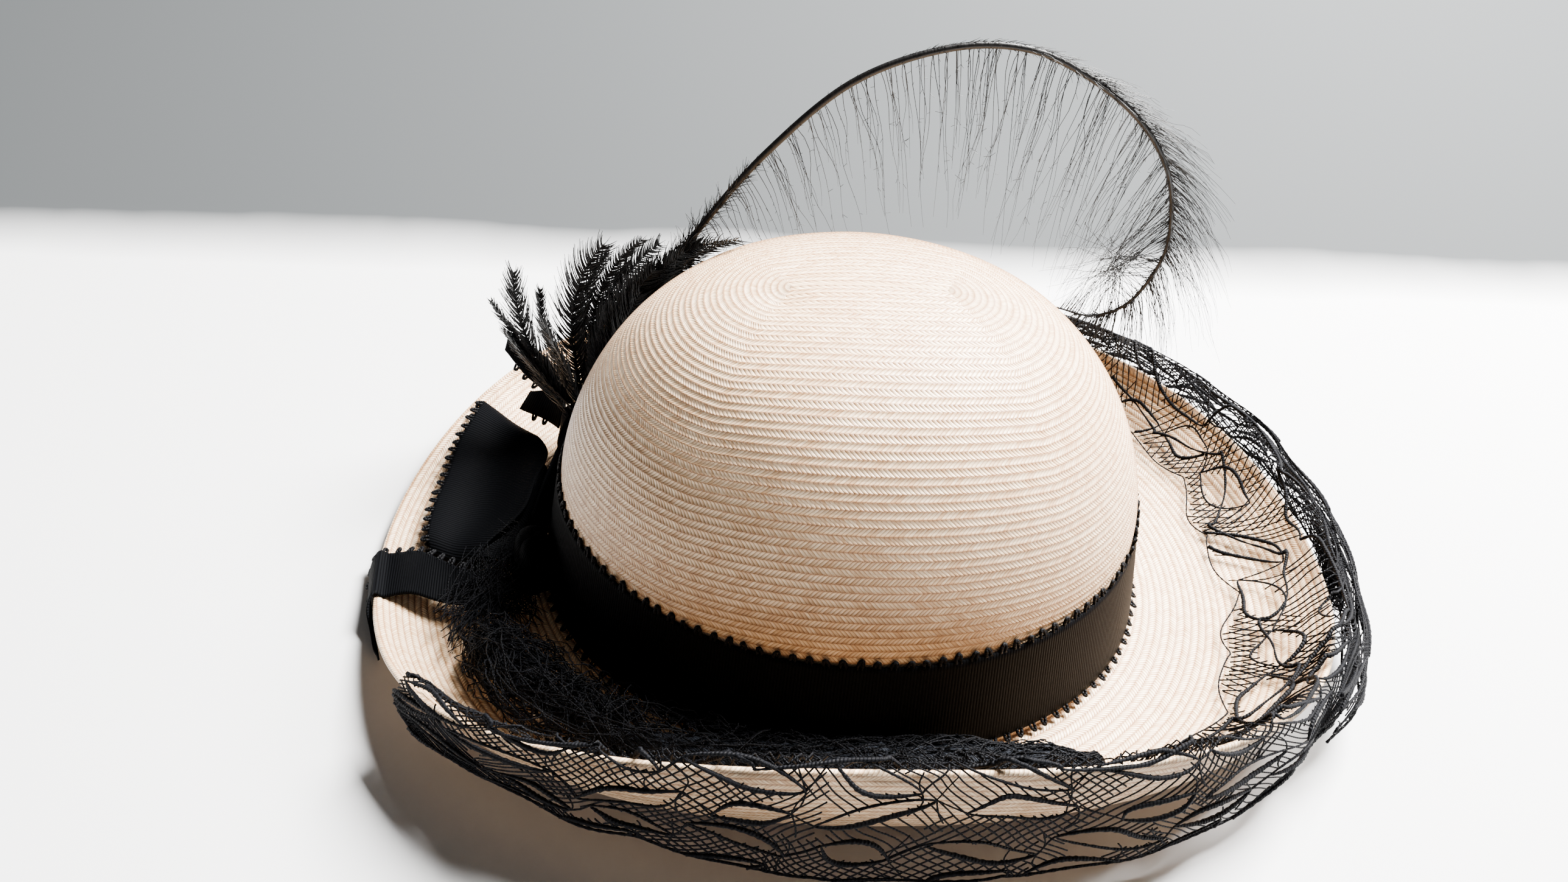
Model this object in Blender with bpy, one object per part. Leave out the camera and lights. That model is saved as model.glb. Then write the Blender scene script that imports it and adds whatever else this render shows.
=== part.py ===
"""A woman's dress hat of sewn straw braid, with a black grosgrain band and bow,
a curled plume, short feathers and a coarse lace veil gathered round the brim.

Metres, +Z up. +X is the wide end of the brim and -Y its high rolled side.
"""
import math

import bmesh
import bpy
from mathutils import Vector

# Thicknesses, and the room kept between touching pieces
STRAW = 0.0020
RIBBON = 0.0010
NET = 0.0014
SEAT = 0.0003

# Crown, measured outside: at its foot, at its shoulder and over the dome
FOOT_LENGTH = 0.1996
FOOT_WIDTH = 0.1786
SHOULDER_LENGTH = 0.1864
SHOULDER_WIDTH = 0.1704
SHOULDER_HEIGHT = 0.0400
CROWN_HEIGHT = 0.1084
DOME_PLAN_POWER = 3.13
DOME_RISE_POWER = 1.53
DOME_TURNS = (22, 40, 54, 65, 74, 82)

# Brim: how far it reaches past the crown and how high its rim stands, by side
REACH_RIGHT = 0.0585
REACH_LEFT = 0.0535
REACH_FRONT = 0.0315
REACH_BACK = 0.0315
RIM_RIGHT = 0.0185
RIM_LEFT = 0.0055
RIM_FRONT = 0.0417
RIM_BACK = 0.0280
RIM_SQUARENESS = 2.94
BRIM_LEVEL = 0.0080

# Band, bow and the pad that the feathers are sewn to
BAND_FOOT = 0.0050
BAND_WIDTH = 0.0345
BOW_DIP = 0.0040
KNOT_REACH = 0.0120
KNOT_HEIGHT = 0.0200
PAD_REACH = 0.0170
PAD_HEIGHT = 0.0210
HACKLE_REACH = 0.0300
HACKLE_WIDTH = 0.0070
QUILL_RADIUS = 0.0011
BARB_LENGTH = 0.0400

# Veil
VEIL_CELLS = 25
VEIL_ROWS = 4
VEIL_LIFT = 0.0026
VEIL_CREST = 0.0100
VEIL_BULGE = 0.0100
VEIL_STRAND = 0.32
VEIL_SWAY = 0.22
# Share of the net's first row where it turns over the rim, how far round a half wave
# its bulge has gone at the hem, and how the bulge and the drop are eased
VEIL_TURN = 0.85
VEIL_TUCK = 0.62
VEIL_BULGE_EASE = 0.7
VEIL_DROP_EASE = 1.15
ROLL_RADIUS = 0.0094
ROLL_STEPS = 22
ROLL_SIDES = 8

AROUND = 56

# Where the brim curls: shares of its reach and rise for the two inner handles of
# its curve, first at the hat's ends and then at its rolled sides
CURL_START = (0.45, 0.62)
CURL_TURN = (0.82, 0.97)
CURL_RISE = 0.35
# Rings of faces from the level part to the rim
CURL_CUTS = (0.22, 0.42, 0.60, 0.76, 0.89, 1.0)

# Veil round the hat, by angle: where it starts on the brim, its crest above the rim,
# its bulge past the rim, each a share of its size above, and its hem's height above
# the floor as a share of the rim's height
VEIL_SECTIONS = (
    # angle, inner, crest, bulge, hem
    (-146, 0.76, 0.30, 0.50, 0.55),
    (-132, 0.74, 0.22, 0.50, 0.45),
    (-114, 0.68, 0.20, 0.60, 0.30),
    (-98, 0.64, 0.20, 0.80, 0.13),
    (-82, 0.62, 0.20, 0.85, 0.07),
    (-62, 0.58, 0.20, 0.80, 0.16),
    (-42, 0.48, 0.22, 0.70, 0.36),
    (-16, 0.42, 0.30, 1.00, 0.25),
    (6, 0.45, 0.90, 1.15, 0.35),
    (30, 0.50, 0.95, 0.70, 0.40),
    (52, 0.52, 0.80, 0.60, 0.35),
    (85, 0.56, 0.45, 0.60, 0.30),
    (112, 0.60, 0.30, 0.50, 0.30),
    (131, 0.66, 0.22, 0.40, 0.35),
)

# Gathered net in the valley behind the front rim: share of the reach, share of its radius
ROLL_SECTIONS = (
    # angle, place, size
    (-155, 0.42, 0.38),
    (-149, 0.42, 0.95),
    (-141, 0.42, 1.20),
    (-130, 0.40, 1.10),
    (-114, 0.355, 1.00),
    (-96, 0.345, 1.00),
    (-80, 0.345, 0.98),
    (-68, 0.35, 0.75),
    (-58, 0.38, 0.35),
)

# Angles that the knot and the feathers' pad take up on the band, in degrees
KNOT_ANGLES = (186.5, 199.0)
PAD_ANGLES = (140.4, 154.0)

# Ribbon pieces: angle, share of the brim's reach and lift above it, for the picot
# edge and then the other edge; lifts are shares of the knot's height
LOOP_SECTIONS = (
    # angle, place, lift, angle, place, lift, dip
    (185.6, 0.61, 0.20, 189.5, 0.36, 0.30, 0.0),
    (183.0, 0.655, 0.42, 187.0, 0.31, 0.60, 0.5),
    (177.0, 0.675, 0.44, 179.0, 0.150, 0.72, 1.0),
    (169.0, 0.70, 0.42, 169.5, 0.145, 0.72, 1.0),
    (161.0, 0.81, 0.34, 160.5, 0.180, 0.70, 0.9),
    (154.0, 0.93, 0.24, 156.5, 0.30, 0.66, 0.4),
    (151.5, 0.96, 0.13, 154.0, 0.43, 0.34, 0.0),
    (153.5, 0.91, 0.06, 156.5, 0.33, 0.07, 0.0),
    (161.0, 0.79, 0.06, 161.0, 0.20, 0.06, 0.0),
    (169.0, 0.68, 0.06, 169.5, 0.155, 0.06, 0.0),
    (177.0, 0.655, 0.06, 178.0, 0.160, 0.06, 0.0),
    (183.5, 0.64, 0.06, 186.5, 0.33, 0.07, 0.0),
)
TAIL_SECTIONS = (
    # angle, place, lift, angle, place, lift
    (194.0, 0.262, 0.62, 198.6, 0.265, 0.40),
    (193.0, 0.40, 0.60, 198.4, 0.42, 0.38),
    (189.4, 0.54, 0.52, 196.8, 0.58, 0.36),
    (185.8, 0.71, 0.36, 194.0, 0.75, 0.28),
    (184.0, 0.93, 0.045, 192.8, 0.93, 0.045),
)
# The tail's drop outside the rim: angle, distance past the rim as a share of the drop,
# and height as a share of the rim's, for the same two edges
TAIL_DROP = 0.0070
TAIL_DROP_SECTIONS = (
    # angle, distance, height, angle, distance, height
    (184.0, 0.13, 1.10, 192.8, 0.10, 1.07),
    (185.6, 0.45, 0.75, 194.4, 0.40, 0.75),
    (188.2, 0.50, 0.30, 196.6, 0.42, 0.40),
    (191.6, 0.42, 0.12, 199.4, 0.36, 0.25),
    (194.8, 0.36, 0.08, 201.6, 0.30, 0.18),
)
# The fold that stands beside the band: angle, its lower and upper edge as shares of the
# knot's height, and how far the upper edge leans out as a share of the knot's reach
SIDE_FOLD_SECTIONS = (
    # angle, low, high, lean
    (184.8, 0.30, 1.15, 0.42),
    (179.0, 0.25, 1.20, 0.30),
    (172.0, 0.25, 1.25, 0.28),
    (165.0, 0.25, 1.28, 0.34),
    (158.5, 0.28, 1.28, 0.50),
)
# Ribbon ends standing out of the rosette: angle, height and lift off the crown as
# shares of the pad's height and reach, for the upper edge and then the lower edge
END_SECTIONS = {
    "bow_end_long": (
        # angle, height, lift, angle, height, lift
        (145.6, 1.20, 1.14, 147.4, 0.95, 1.14),
        (145.2, 1.38, 1.75, 147.2, 0.95, 1.75),
        (144.8, 1.48, 2.15, 147.0, 1.08, 2.40),
        (144.8, 1.60, 2.85, 146.6, 1.22, 2.80),
        (146.0, 1.70, 3.20, 146.3, 1.42, 3.22),
    ),
    "bow_end_short": (
        # angle, height, lift, angle, height, lift
        (149.6, 1.22, 1.13, 151.0, 0.62, 1.13),
        (149.0, 1.20, 1.60, 150.4, 0.66, 1.70),
        (149.2, 1.05, 2.10, 150.4, 0.66, 2.25),
    ),
}

# Short feathers: root column and row on the pad's top, then the tip's angle, its height
# as a share of the crown's and its lift off the crown as a share of the hackle reach
HACKLES = (
    # column, row, angle, height, lift
    (0, 0, 136.0, 0.88, 0.30),
    (0, 2, 138.6, 0.84, 0.62),
    (1, 1, 141.2, 0.78, 0.42),
    (1, 3, 142.6, 0.77, 0.95),
    (2, 0, 144.8, 0.70, 0.20),
    (2, 2, 146.0, 0.83, 1.05),
    (3, 1, 149.3, 0.50, 1.08),
    (3, 3, 151.0, 0.68, 1.66),
)
# Their outline: share of the length, half width as a share of the hackle width
HACKLE_OUTLINE = ((0.12, 0.30), (0.35, 0.50), (0.62, 0.48), (0.85, 0.30), (1.0, 0.08))

# The plume's quill, as shares of the foot's half length, half width and crown height
QUILL_PATH = (
    # along, back, up
    (-0.800, 0.700, 0.190),
    (-0.810, 0.700, 0.300),
    (-0.790, 0.700, 0.450),
    (-0.645, 0.700, 0.660),
    (-0.500, 0.700, 0.870),
    (-0.300, 0.705, 1.110),
    (-0.040, 0.715, 1.335),
    (0.250, 0.725, 1.445),
    (0.510, 0.745, 1.450),
    (0.740, 0.765, 1.365),
    (0.940, 0.780, 1.235),
    (1.080, 0.795, 1.075),
    (1.150, 0.810, 0.890),
    (1.160, 0.825, 0.735),
    (1.090, 0.840, 0.570),
    (0.970, 0.855, 0.505),
    (0.830, 0.870, 0.525),
)
QUILL_STEPS = 46
QUILL_SIDES = 6
QUILL_TAPER = 0.35
# Locks of barbs: first and last quill step, side, reach as a share of the barb length
# at both ends, and how far they trail back along the quill
LOCK_GROUPS = (
    # first, last, side, reach at first, reach at last, trail
    (14, 34, "inner", 0.30, 1.25, 0.25),
    (36, 44, "inner", 0.55, 0.30, -0.20),
    (26, 37, "outer", 0.45, 0.90, -1.45),
)
# Their outline: share of the reach, half width as a share of a quill step
LOCK_OUTLINE = ((0.25, 0.34), (0.55, 0.30), (0.8, 0.20), (1.0, 0.06))


def mix(low, high, share):
    return low + (high - low) * share


def between(sections, place):
    """Read a table of sections at a place given in its first column."""
    for low, high in zip(sections, sections[1:]):
        if place <= high[0]:
            break
    share = min(max((place - low[0]) / (high[0] - low[0]), 0), 1)
    share = share * share * (3 - 2 * share)
    return [mix(a, b, share) for a, b in zip(low[1:], high[1:])]


def smooth_path(points, count):
    """Points at even steps of a Catmull-Rom curve through the given ones."""
    padded = [2 * points[0] - points[1], *points, 2 * points[-1] - points[-2]]
    path = []
    for step in range(count + 1):
        place = step / count * (len(points) - 1)
        index = min(int(place), len(points) - 2)
        t = place - index
        before, start, end, after = padded[index:index + 4]
        curve = (2 * start + (end - before) * t
                 + (2 * before - 5 * start + 4 * end - after) * t ** 2
                 + (3 * start - before - 3 * end + after) * t ** 3)
        path.append(curve / 2)
    return path


def crown_half(height):
    """Half length and half width of the crown's outside at a height."""
    if height <= SHOULDER_HEIGHT:
        share = height / SHOULDER_HEIGHT
        return mix(FOOT_LENGTH, SHOULDER_LENGTH, share) / 2, mix(FOOT_WIDTH, SHOULDER_WIDTH, share) / 2
    rise = min((height - SHOULDER_HEIGHT) / (CROWN_HEIGHT - SHOULDER_HEIGHT), 1)
    size = (1 - rise ** DOME_RISE_POWER) ** (1 / DOME_PLAN_POWER)
    return SHOULDER_LENGTH / 2 * size, SHOULDER_WIDTH / 2 * size


def crown_point(angle, height, lift=0.0):
    half_length, half_width = crown_half(height)
    return Vector(((half_length + lift) * math.cos(angle), (half_width + lift) * math.sin(angle), height))


def rim(angle):
    """The rim's plan point and height, and 0 at the hat's ends to 1 at its sides."""
    along, across = math.cos(angle), math.sin(angle)
    side = 1 - abs(along) ** RIM_SQUARENESS
    reach_x = FOOT_LENGTH / 2 + (REACH_RIGHT if along > 0 else REACH_LEFT)
    reach_y = FOOT_WIDTH / 2 + (REACH_BACK if across > 0 else REACH_FRONT)
    plan = Vector((reach_x * along, math.copysign(reach_y * math.sqrt(side), across), 0))
    end_height = RIM_RIGHT if along > 0 else RIM_LEFT
    side_height = RIM_BACK if across > 0 else RIM_FRONT
    return plan, mix(end_height, side_height, side), side


def brim_section(angle):
    """Foot of the crown, level direction to the rim, reach, and the curl's four handles."""
    foot = crown_point(angle, 0)
    edge, height, side = rim(angle)
    out = edge - foot
    reach = out.length
    curl = reach - BRIM_LEVEL
    handles = (
        Vector((BRIM_LEVEL, STRAW)),
        Vector((BRIM_LEVEL + curl * mix(*CURL_START, side), STRAW)),
        Vector((BRIM_LEVEL + curl * mix(*CURL_TURN, side), mix(STRAW, height, CURL_RISE))),
        Vector((reach, height)),
    )
    return foot, out / reach, reach, handles


def brim_point(angle, share, lift=0.0):
    """A point above the brim's top face, share 0 at the crown's foot and 1 at the rim."""
    foot, out, reach, (start, first, second, end) = brim_section(angle)
    level = BRIM_LEVEL / reach
    if share <= level:
        return foot + out * share * reach + Vector((0, 0, STRAW + lift))
    t = (share - level) / (1 - level)
    u = 1 - t
    place = u ** 3 * start + 3 * u * u * t * first + 3 * u * t * t * second + t ** 3 * end
    slope = (u * u * (first - start) + 2 * u * t * (second - first) + t * t * (end - second)).normalized()
    place += lift * Vector((-slope.y, slope.x))
    return foot + out * place.x + Vector((0, 0, place.y))


def past_rim(angle, distance, height):
    """A point outside the rim, at a level distance from it and a height above the floor."""
    foot, out, reach, _ = brim_section(angle)
    return foot + out * (reach + distance) + Vector((0, 0, height))


def new_object(name, bm, finish):
    mesh = bpy.data.meshes.new(name)
    bm.to_mesh(mesh)
    bm.free()
    mesh.shade_smooth()
    mesh.set_sharp_from_angle(angle=math.radians(40))
    mesh.materials.append(finish)
    piece = bpy.data.objects.new(name, mesh)
    bpy.context.collection.objects.link(piece)
    piece.parent = hat
    return piece


def finish(name, colour, roughness, sheen=0.0):
    material = bpy.data.materials.new(name)
    material.use_nodes = True
    shader = material.node_tree.nodes["Principled BSDF"]
    shader.inputs["Base Color"].default_value = (*colour, 1)
    shader.inputs["Roughness"].default_value = roughness
    shader.inputs["Metallic"].default_value = 0
    shader.inputs["Sheen Weight"].default_value = sheen
    return material


def rings_object(name, rings, material, closed=False):
    """Bridge rings of points into one body; a ring of one point is a tip."""
    bm = bmesh.new()
    rows = [[bm.verts.new(point) for point in ring] for ring in rings]
    pairs = list(zip(rows, rows[1:]))
    if closed:
        pairs.append((rows[-1], rows[0]))
    for low, high in pairs:
        count = max(len(low), len(high))
        for index in range(count):
            after = (index + 1) % count
            corners = [low[index % len(low)], low[after % len(low)],
                       high[after % len(high)], high[index % len(high)]]
            bm.faces.new(dict.fromkeys(corners))
    if not closed:
        for row in (rows[0], rows[-1]):
            if len(row) > 1:
                bm.faces.new(row)
    bmesh.ops.recalc_face_normals(bm, faces=bm.faces)
    return new_object(name, bm, material)


def around(place):
    """One ring of points round the hat from a function of the angle."""
    return [place(2 * math.pi * step / AROUND) for step in range(AROUND)]


def make_crown():
    """Straw dome, open below; its wall stands on the brim."""
    foot = STRAW + SEAT
    turns = [math.radians(turn) for turn in DOME_TURNS]

    def ring(shrink, turn):
        size = math.cos(turn)
        rise = (1 - size ** DOME_PLAN_POWER) ** (1 / DOME_RISE_POWER)
        height = SHOULDER_HEIGHT + (CROWN_HEIGHT - shrink - SHOULDER_HEIGHT) * rise
        length = (SHOULDER_LENGTH / 2 - shrink) * size
        width = (SHOULDER_WIDTH / 2 - shrink) * size
        return around(lambda a: Vector((length * math.cos(a), width * math.sin(a), height)))

    inner = [[Vector((0, 0, CROWN_HEIGHT - STRAW))]]
    inner += [ring(STRAW, turn) for turn in reversed(turns)]
    inner += [around(lambda a, z=z: crown_point(a, z, -STRAW)) for z in (SHOULDER_HEIGHT, foot)]
    outer = [around(lambda a, z=z: crown_point(a, z)) for z in (foot, SHOULDER_HEIGHT)]
    outer += [ring(0, turn) for turn in turns]
    outer += [[Vector((0, 0, CROWN_HEIGHT))]]
    return rings_object("crown", inner + outer, straw)


def make_brim():
    """Rolled straw brim with a level ring to rest on; its inner edge meets the crown's inside."""
    def row(share, lift):
        return around(lambda a: brim_point(a, share(a), lift))

    def level(a):
        return BRIM_LEVEL / brim_section(a)[2]

    def inner(a):
        return -STRAW / brim_section(a)[2]

    curl = [lambda a, t=t: mix(level(a), 1, t) for t in CURL_CUTS]
    shares = [inner, level, *curl]
    rings = [row(share, 0) for share in shares]
    rings += [row(share, -STRAW) for share in reversed(shares)]
    return rings_object("brim", rings, straw, closed=True)


def make_band():
    """Grosgrain ribbon once round the crown's wall."""
    low, high = BAND_FOOT, BAND_FOOT + BAND_WIDTH
    corners = ((low, SEAT), (high, SEAT), (high, SEAT + RIBBON), (low, SEAT + RIBBON))
    rings = [around(lambda a, z=z, lift=lift: crown_point(a, z, lift)) for z, lift in corners]
    return rings_object("band", rings, ribbon, closed=True)


def ribbon_object(name, edges, dips=None, closed=False, across=4):
    """A ribbon through pairs of edge points, dipping along its middle where told."""
    bm = bmesh.new()
    rows = []
    for index, (first, second) in enumerate(edges):
        dip = dips[index] if dips else 0
        row = []
        for step in range(across + 1):
            share = step / across
            sag = dip * math.sin(math.pi * share) ** 2
            row.append(bm.verts.new(first.lerp(second, share) - Vector((0, 0, sag))))
        rows.append(row)
    pairs = list(zip(rows, rows[1:]))
    if closed:
        pairs.append((rows[-1], rows[0]))
    for low, high in pairs:
        for step in range(across):
            bm.faces.new((low[step], low[step + 1], high[step + 1], high[step]))
    bmesh.ops.recalc_face_normals(bm, faces=bm.faces)
    piece = new_object(name, bm, ribbon)
    thicken(piece, RIBBON)
    return piece


def thicken(piece, thickness):
    modifier = piece.modifiers.new("thickness", "SOLIDIFY")
    modifier.thickness = thickness
    modifier.offset = 0
    modifier.use_even_offset = True


def make_bow():
    def edge(angle, place, lift):
        return brim_point(math.radians(angle), place, lift * KNOT_HEIGHT)

    loop = [(edge(*row[:3]), edge(*row[3:6])) for row in LOOP_SECTIONS]
    ribbon_object("bow_loop", loop, [row[6] * BOW_DIP for row in LOOP_SECTIONS], closed=True)

    tail = [(edge(*row[:3]), edge(*row[3:6])) for row in TAIL_SECTIONS]
    for row in TAIL_DROP_SECTIONS:
        pair = []
        for degrees, distance, height in (row[:3], row[3:]):
            turn = math.radians(degrees)
            pair.append(past_rim(turn, distance * TAIL_DROP, height * rim(turn)[1] + RIBBON))
        tail.append(tuple(pair))
    ribbon_object("bow_tail", tail)

    for name, rows in END_SECTIONS.items():
        ends = []
        for row in rows:
            pair = [crown_point(math.radians(angle), height * PAD_HEIGHT, lift * PAD_REACH)
                    for angle, height, lift in (row[:3], row[3:])]
            ends.append(tuple(pair))
        ribbon_object(name, ends, across=2)

    fold = []
    clear = RIBBON * 1.5 + SEAT * 3
    for angle, low, high, lean in SIDE_FOLD_SECTIONS:
        turn = math.radians(angle)
        fold.append((crown_point(turn, high * KNOT_HEIGHT, clear + lean * KNOT_REACH),
                     crown_point(turn, low * KNOT_HEIGHT, clear)))
    ribbon_object("bow_side_fold", fold, across=2)


def cushion(first, last, low, high, near, far, round_power, cuts=3):
    """Bmesh of a rounded block against the band, between two angles, heights and lifts."""
    bm = bmesh.new()
    bmesh.ops.create_cube(bm, size=2)
    bmesh.ops.subdivide_edges(bm, edges=bm.edges, cuts=cuts, use_grid_fill=True)
    for vert in bm.verts:
        size = sum(abs(value) ** round_power for value in vert.co) ** (1 / round_power)
        place = vert.co / size * max(abs(value) for value in vert.co)
        turn = math.radians(mix(first, last, (place.x + 1) / 2))
        vert.co = crown_point(turn, mix(low, high, (place.z + 1) / 2), mix(near, far, (place.y + 1) / 2))
    # Angle, lift and height form a left-handed frame, so the cube comes out mirrored
    bmesh.ops.reverse_faces(bm, faces=bm.faces)
    return bm


def make_knot():
    near = RIBBON + 2 * SEAT
    bm = cushion(*KNOT_ANGLES, BAND_FOOT, BAND_FOOT + KNOT_HEIGHT, near, near + KNOT_REACH, 4)
    return new_object("bow_knot", bm, ribbon)


def grow(bm, face, path, sizes, wide, thin):
    """Extrude one face along a path; sizes are half widths along wide and thin."""
    for point, (width, thickness) in zip(path, sizes):
        centre = face.calc_center_median()
        face = bmesh.ops.extrude_discrete_faces(bm, faces=[face])["faces"][0]
        for vert in face.verts:
            offset = vert.co - centre
            vert.co = (point + wide * math.copysign(width, offset.dot(wide))
                       + thin * math.copysign(thickness, offset.dot(thin)))


def make_hackles():
    """Short feathers fanned out of a pad that is sewn against the band."""
    near = RIBBON + 2 * SEAT
    far = near + PAD_REACH
    top = BAND_FOOT + PAD_HEIGHT
    first, last = PAD_ANGLES
    cells = 4
    bm = cushion(first, last, BAND_FOOT, top, near, far, 8, cells - 1)
    bm.normal_update()
    upper = [face for face in bm.faces if face.normal.z > 0.7]
    roots = []
    for column, row, *_ in HACKLES:
        angle = mix(first, last, (column + 0.5) / cells)
        lift = mix(near, far, (row + 0.5) / cells)
        root = crown_point(math.radians(angle), top, lift)
        nearest = min(upper, key=lambda face: (face.calc_center_median() - root).length)
        upper.remove(nearest)
        roots.append((angle, lift, root, nearest))
    for (root_angle, root_lift, root, face), row in zip(roots, HACKLES):
        _, _, tip_angle, tip_height, tip_lift = row
        path, sizes = [], []
        for share, size in HACKLE_OUTLINE:
            turn = math.radians(mix(root_angle, tip_angle, share))
            height = mix(top, tip_height * CROWN_HEIGHT, share)
            lift = mix(root_lift, tip_lift * HACKLE_REACH, share)
            path.append(crown_point(turn, height, lift))
            sizes.append((size * HACKLE_WIDTH, NET / 2 * (1 - share / 2)))
        ahead = (path[-1] - root).normalized()
        wide = Vector((math.cos(math.radians(root_angle)), math.sin(math.radians(root_angle)), 0))
        wide = (wide - wide.dot(ahead) * ahead).normalized()
        grow(bm, face, path, sizes, wide, ahead.cross(wide))
    return new_object("hackles", bm, feather)


def make_plume():
    """Curled quill with locks of barbs, standing out of the pad and over the crown."""
    scale = (FOOT_LENGTH / 2, FOOT_WIDTH / 2, CROWN_HEIGHT)
    points = [Vector([share * size for share, size in zip(row, scale)]) for row in QUILL_PATH]
    path = smooth_path(points, QUILL_STEPS)
    bm = bmesh.new()
    rings, frames = [], []
    for index, point in enumerate(path):
        along = (path[min(index + 1, QUILL_STEPS)] - path[max(index - 1, 0)]).normalized()
        inward = Vector((0, 1, 0)).cross(along).normalized()
        back = along.cross(inward)
        radius = QUILL_RADIUS * mix(1, QUILL_TAPER, index / QUILL_STEPS)
        ring = []
        for side in range(QUILL_SIDES):
            turn = 2 * math.pi * (side - 0.5) / QUILL_SIDES
            ring.append(bm.verts.new(point + radius * (inward * math.cos(turn) + back * math.sin(turn))))
        rings.append(ring)
        frames.append((along, inward, back))
    inner_faces, outer_faces = [], []
    for low, high in zip(rings, rings[1:]):
        faces = []
        for side in range(QUILL_SIDES):
            after = (side + 1) % QUILL_SIDES
            faces.append(bm.faces.new((low[side], low[after], high[after], high[side])))
        inner_faces.append(faces[0])
        outer_faces.append(faces[QUILL_SIDES // 2])
    bm.faces.new(rings[0])
    bm.faces.new(rings[-1])
    bmesh.ops.recalc_face_normals(bm, faces=bm.faces)
    for first, last, side, reach_first, reach_last, trail in LOCK_GROUPS:
        for step in range(first, last + 1, 2):
            along, inward, back = frames[step]
            face = (inner_faces if side == "inner" else outer_faces)[step]
            aim = inward if side == "inner" else -inward
            reach = BARB_LENGTH * mix(reach_first, reach_last, (step - first) / (last - first))
            root = face.calc_center_median()
            step_length = (path[step + 1] - path[step]).length
            lock, sizes = [], []
            for share, size in LOCK_OUTLINE:
                bend = share * share * trail
                lock.append(root + reach * (aim * share - along * bend))
                sizes.append((size * step_length, NET / 2 * (1 - share / 2)))
            grow(bm, face, lock, sizes, along, back)
    return new_object("plume", bm, feather)


def veil_point(place, down):
    """A point of the veil: place 0 to 1 round the hat, down 0 at its inner edge to 1 at its hem."""
    degrees = mix(VEIL_SECTIONS[0][0], VEIL_SECTIONS[-1][0], place)
    inner, crest, bulge, hem = between(VEIL_SECTIONS, degrees)
    angle = math.radians(degrees)
    height = rim(angle)[1]
    crest_row = 1 / VEIL_ROWS
    top = height + VEIL_LIFT + crest * VEIL_CREST
    if down <= crest_row:
        share = max(down, 0) / crest_row
        over = max((share - VEIL_TURN) / (1 - VEIL_TURN), 0)
        on_brim = brim_point(angle, mix(inner, 1, share), VEIL_LIFT * (1 - over))
        return on_brim + Vector((0, 0, VEIL_LIFT * over + crest * VEIL_CREST * share ** 3))
    share = (down - crest_row) / (1 - crest_row)
    foot = mix(STRAW, height, hem)
    drop = mix(top, foot, share ** VEIL_DROP_EASE)
    out = bulge * VEIL_BULGE * math.sin(math.pi * VEIL_TUCK * share ** VEIL_BULGE_EASE)
    return past_rim(angle, out, drop)


def make_veil():
    """Coarse net cut through in rows of leaf-shaped openings."""
    bm = bmesh.new()
    corners = {}

    def lattice(half, row):
        """A shared corner of the net's cells, at a half cell round and a whole row down."""
        if (half, row) not in corners:
            shift = VEIL_SWAY if (half + row) % 2 == 0 else -VEIL_SWAY
            if row == 1:
                shift = 0
            if row == 0:
                shift = max(shift, 0)
            if row == VEIL_ROWS:
                shift = min(shift, 0)
            place = (half / (2 * VEIL_CELLS + 1), (row + shift) / VEIL_ROWS)
            corners[(half, row)] = (bm.verts.new(veil_point(*place)), place)
        return corners[(half, row)]

    for row in range(VEIL_ROWS):
        for cell in range(VEIL_CELLS):
            start = 2 * cell + row % 2
            loop = [(start, row), (start + 1, row), (start + 2, row),
                    (start + 2, row + 1), (start + 1, row + 1), (start, row + 1)]
            outer = [lattice(*spot) for spot in loop]
            middle = [sum(place[axis] for _, place in outer) / len(outer) for axis in (0, 1)]
            inner = [bm.verts.new(veil_point(*(mix(place[axis], middle[axis], VEIL_STRAND) for axis in (0, 1))))
                     for _, place in outer]
            for index in range(len(loop)):
                after = (index + 1) % len(loop)
                bm.faces.new((outer[index][0], outer[after][0], inner[after], inner[index]))
    bmesh.ops.recalc_face_normals(bm, faces=bm.faces)
    piece = new_object("veil", bm, lace)
    thicken(piece, NET)
    return piece


def make_roll():
    """The net gathered behind the front rim, thick beside the bow and thinning to the right."""
    first, last = ROLL_SECTIONS[0][0], ROLL_SECTIONS[-1][0]
    rings, centres = [], []
    for step in range(ROLL_STEPS + 1):
        degrees = mix(first, last, step / ROLL_STEPS)
        place, size = between(ROLL_SECTIONS, degrees)
        radius = size * ROLL_RADIUS
        centres.append((brim_point(math.radians(degrees), place, radius + SEAT * 2), radius))
    for step, (centre, radius) in enumerate(centres):
        along = (centres[min(step + 1, ROLL_STEPS)][0] - centres[max(step - 1, 0)][0]).normalized()
        aside = along.cross(Vector((0, 0, 1))).normalized()
        up = aside.cross(along)
        rings.append([centre + radius * (aside * math.cos(turn) + up * math.sin(turn))
                      for turn in (2 * math.pi * side / ROLL_SIDES for side in range(ROLL_SIDES))])
    return rings_object("veil_roll", rings, lace)


def stand_on_origin():
    """Move the hat so that the middle of its footprint is the origin."""
    bpy.context.view_layer.update()
    depsgraph = bpy.context.evaluated_depsgraph_get()
    points = []
    for piece in hat.children:
        points += [piece.matrix_world @ vert.co for vert in piece.evaluated_get(depsgraph).data.vertices]
    low = Vector([min(point[axis] for point in points) for axis in range(3)])
    high = Vector([max(point[axis] for point in points) for axis in range(3)])
    middle = (low + high) / 2
    hat.location = (-middle.x, -middle.y, -low.z)


for leftover in list(bpy.data.objects):
    bpy.data.objects.remove(leftover)

hat = bpy.data.objects.new("hat", None)
bpy.context.collection.objects.link(hat)
straw = finish("straw_braid", (0.80, 0.68, 0.52), 0.45)
ribbon = finish("black_grosgrain", (0.012, 0.011, 0.013), 0.6, 0.3)
feather = finish("black_feather", (0.010, 0.010, 0.011), 0.5)
lace = finish("black_net", (0.012, 0.013, 0.018), 0.7)

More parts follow.
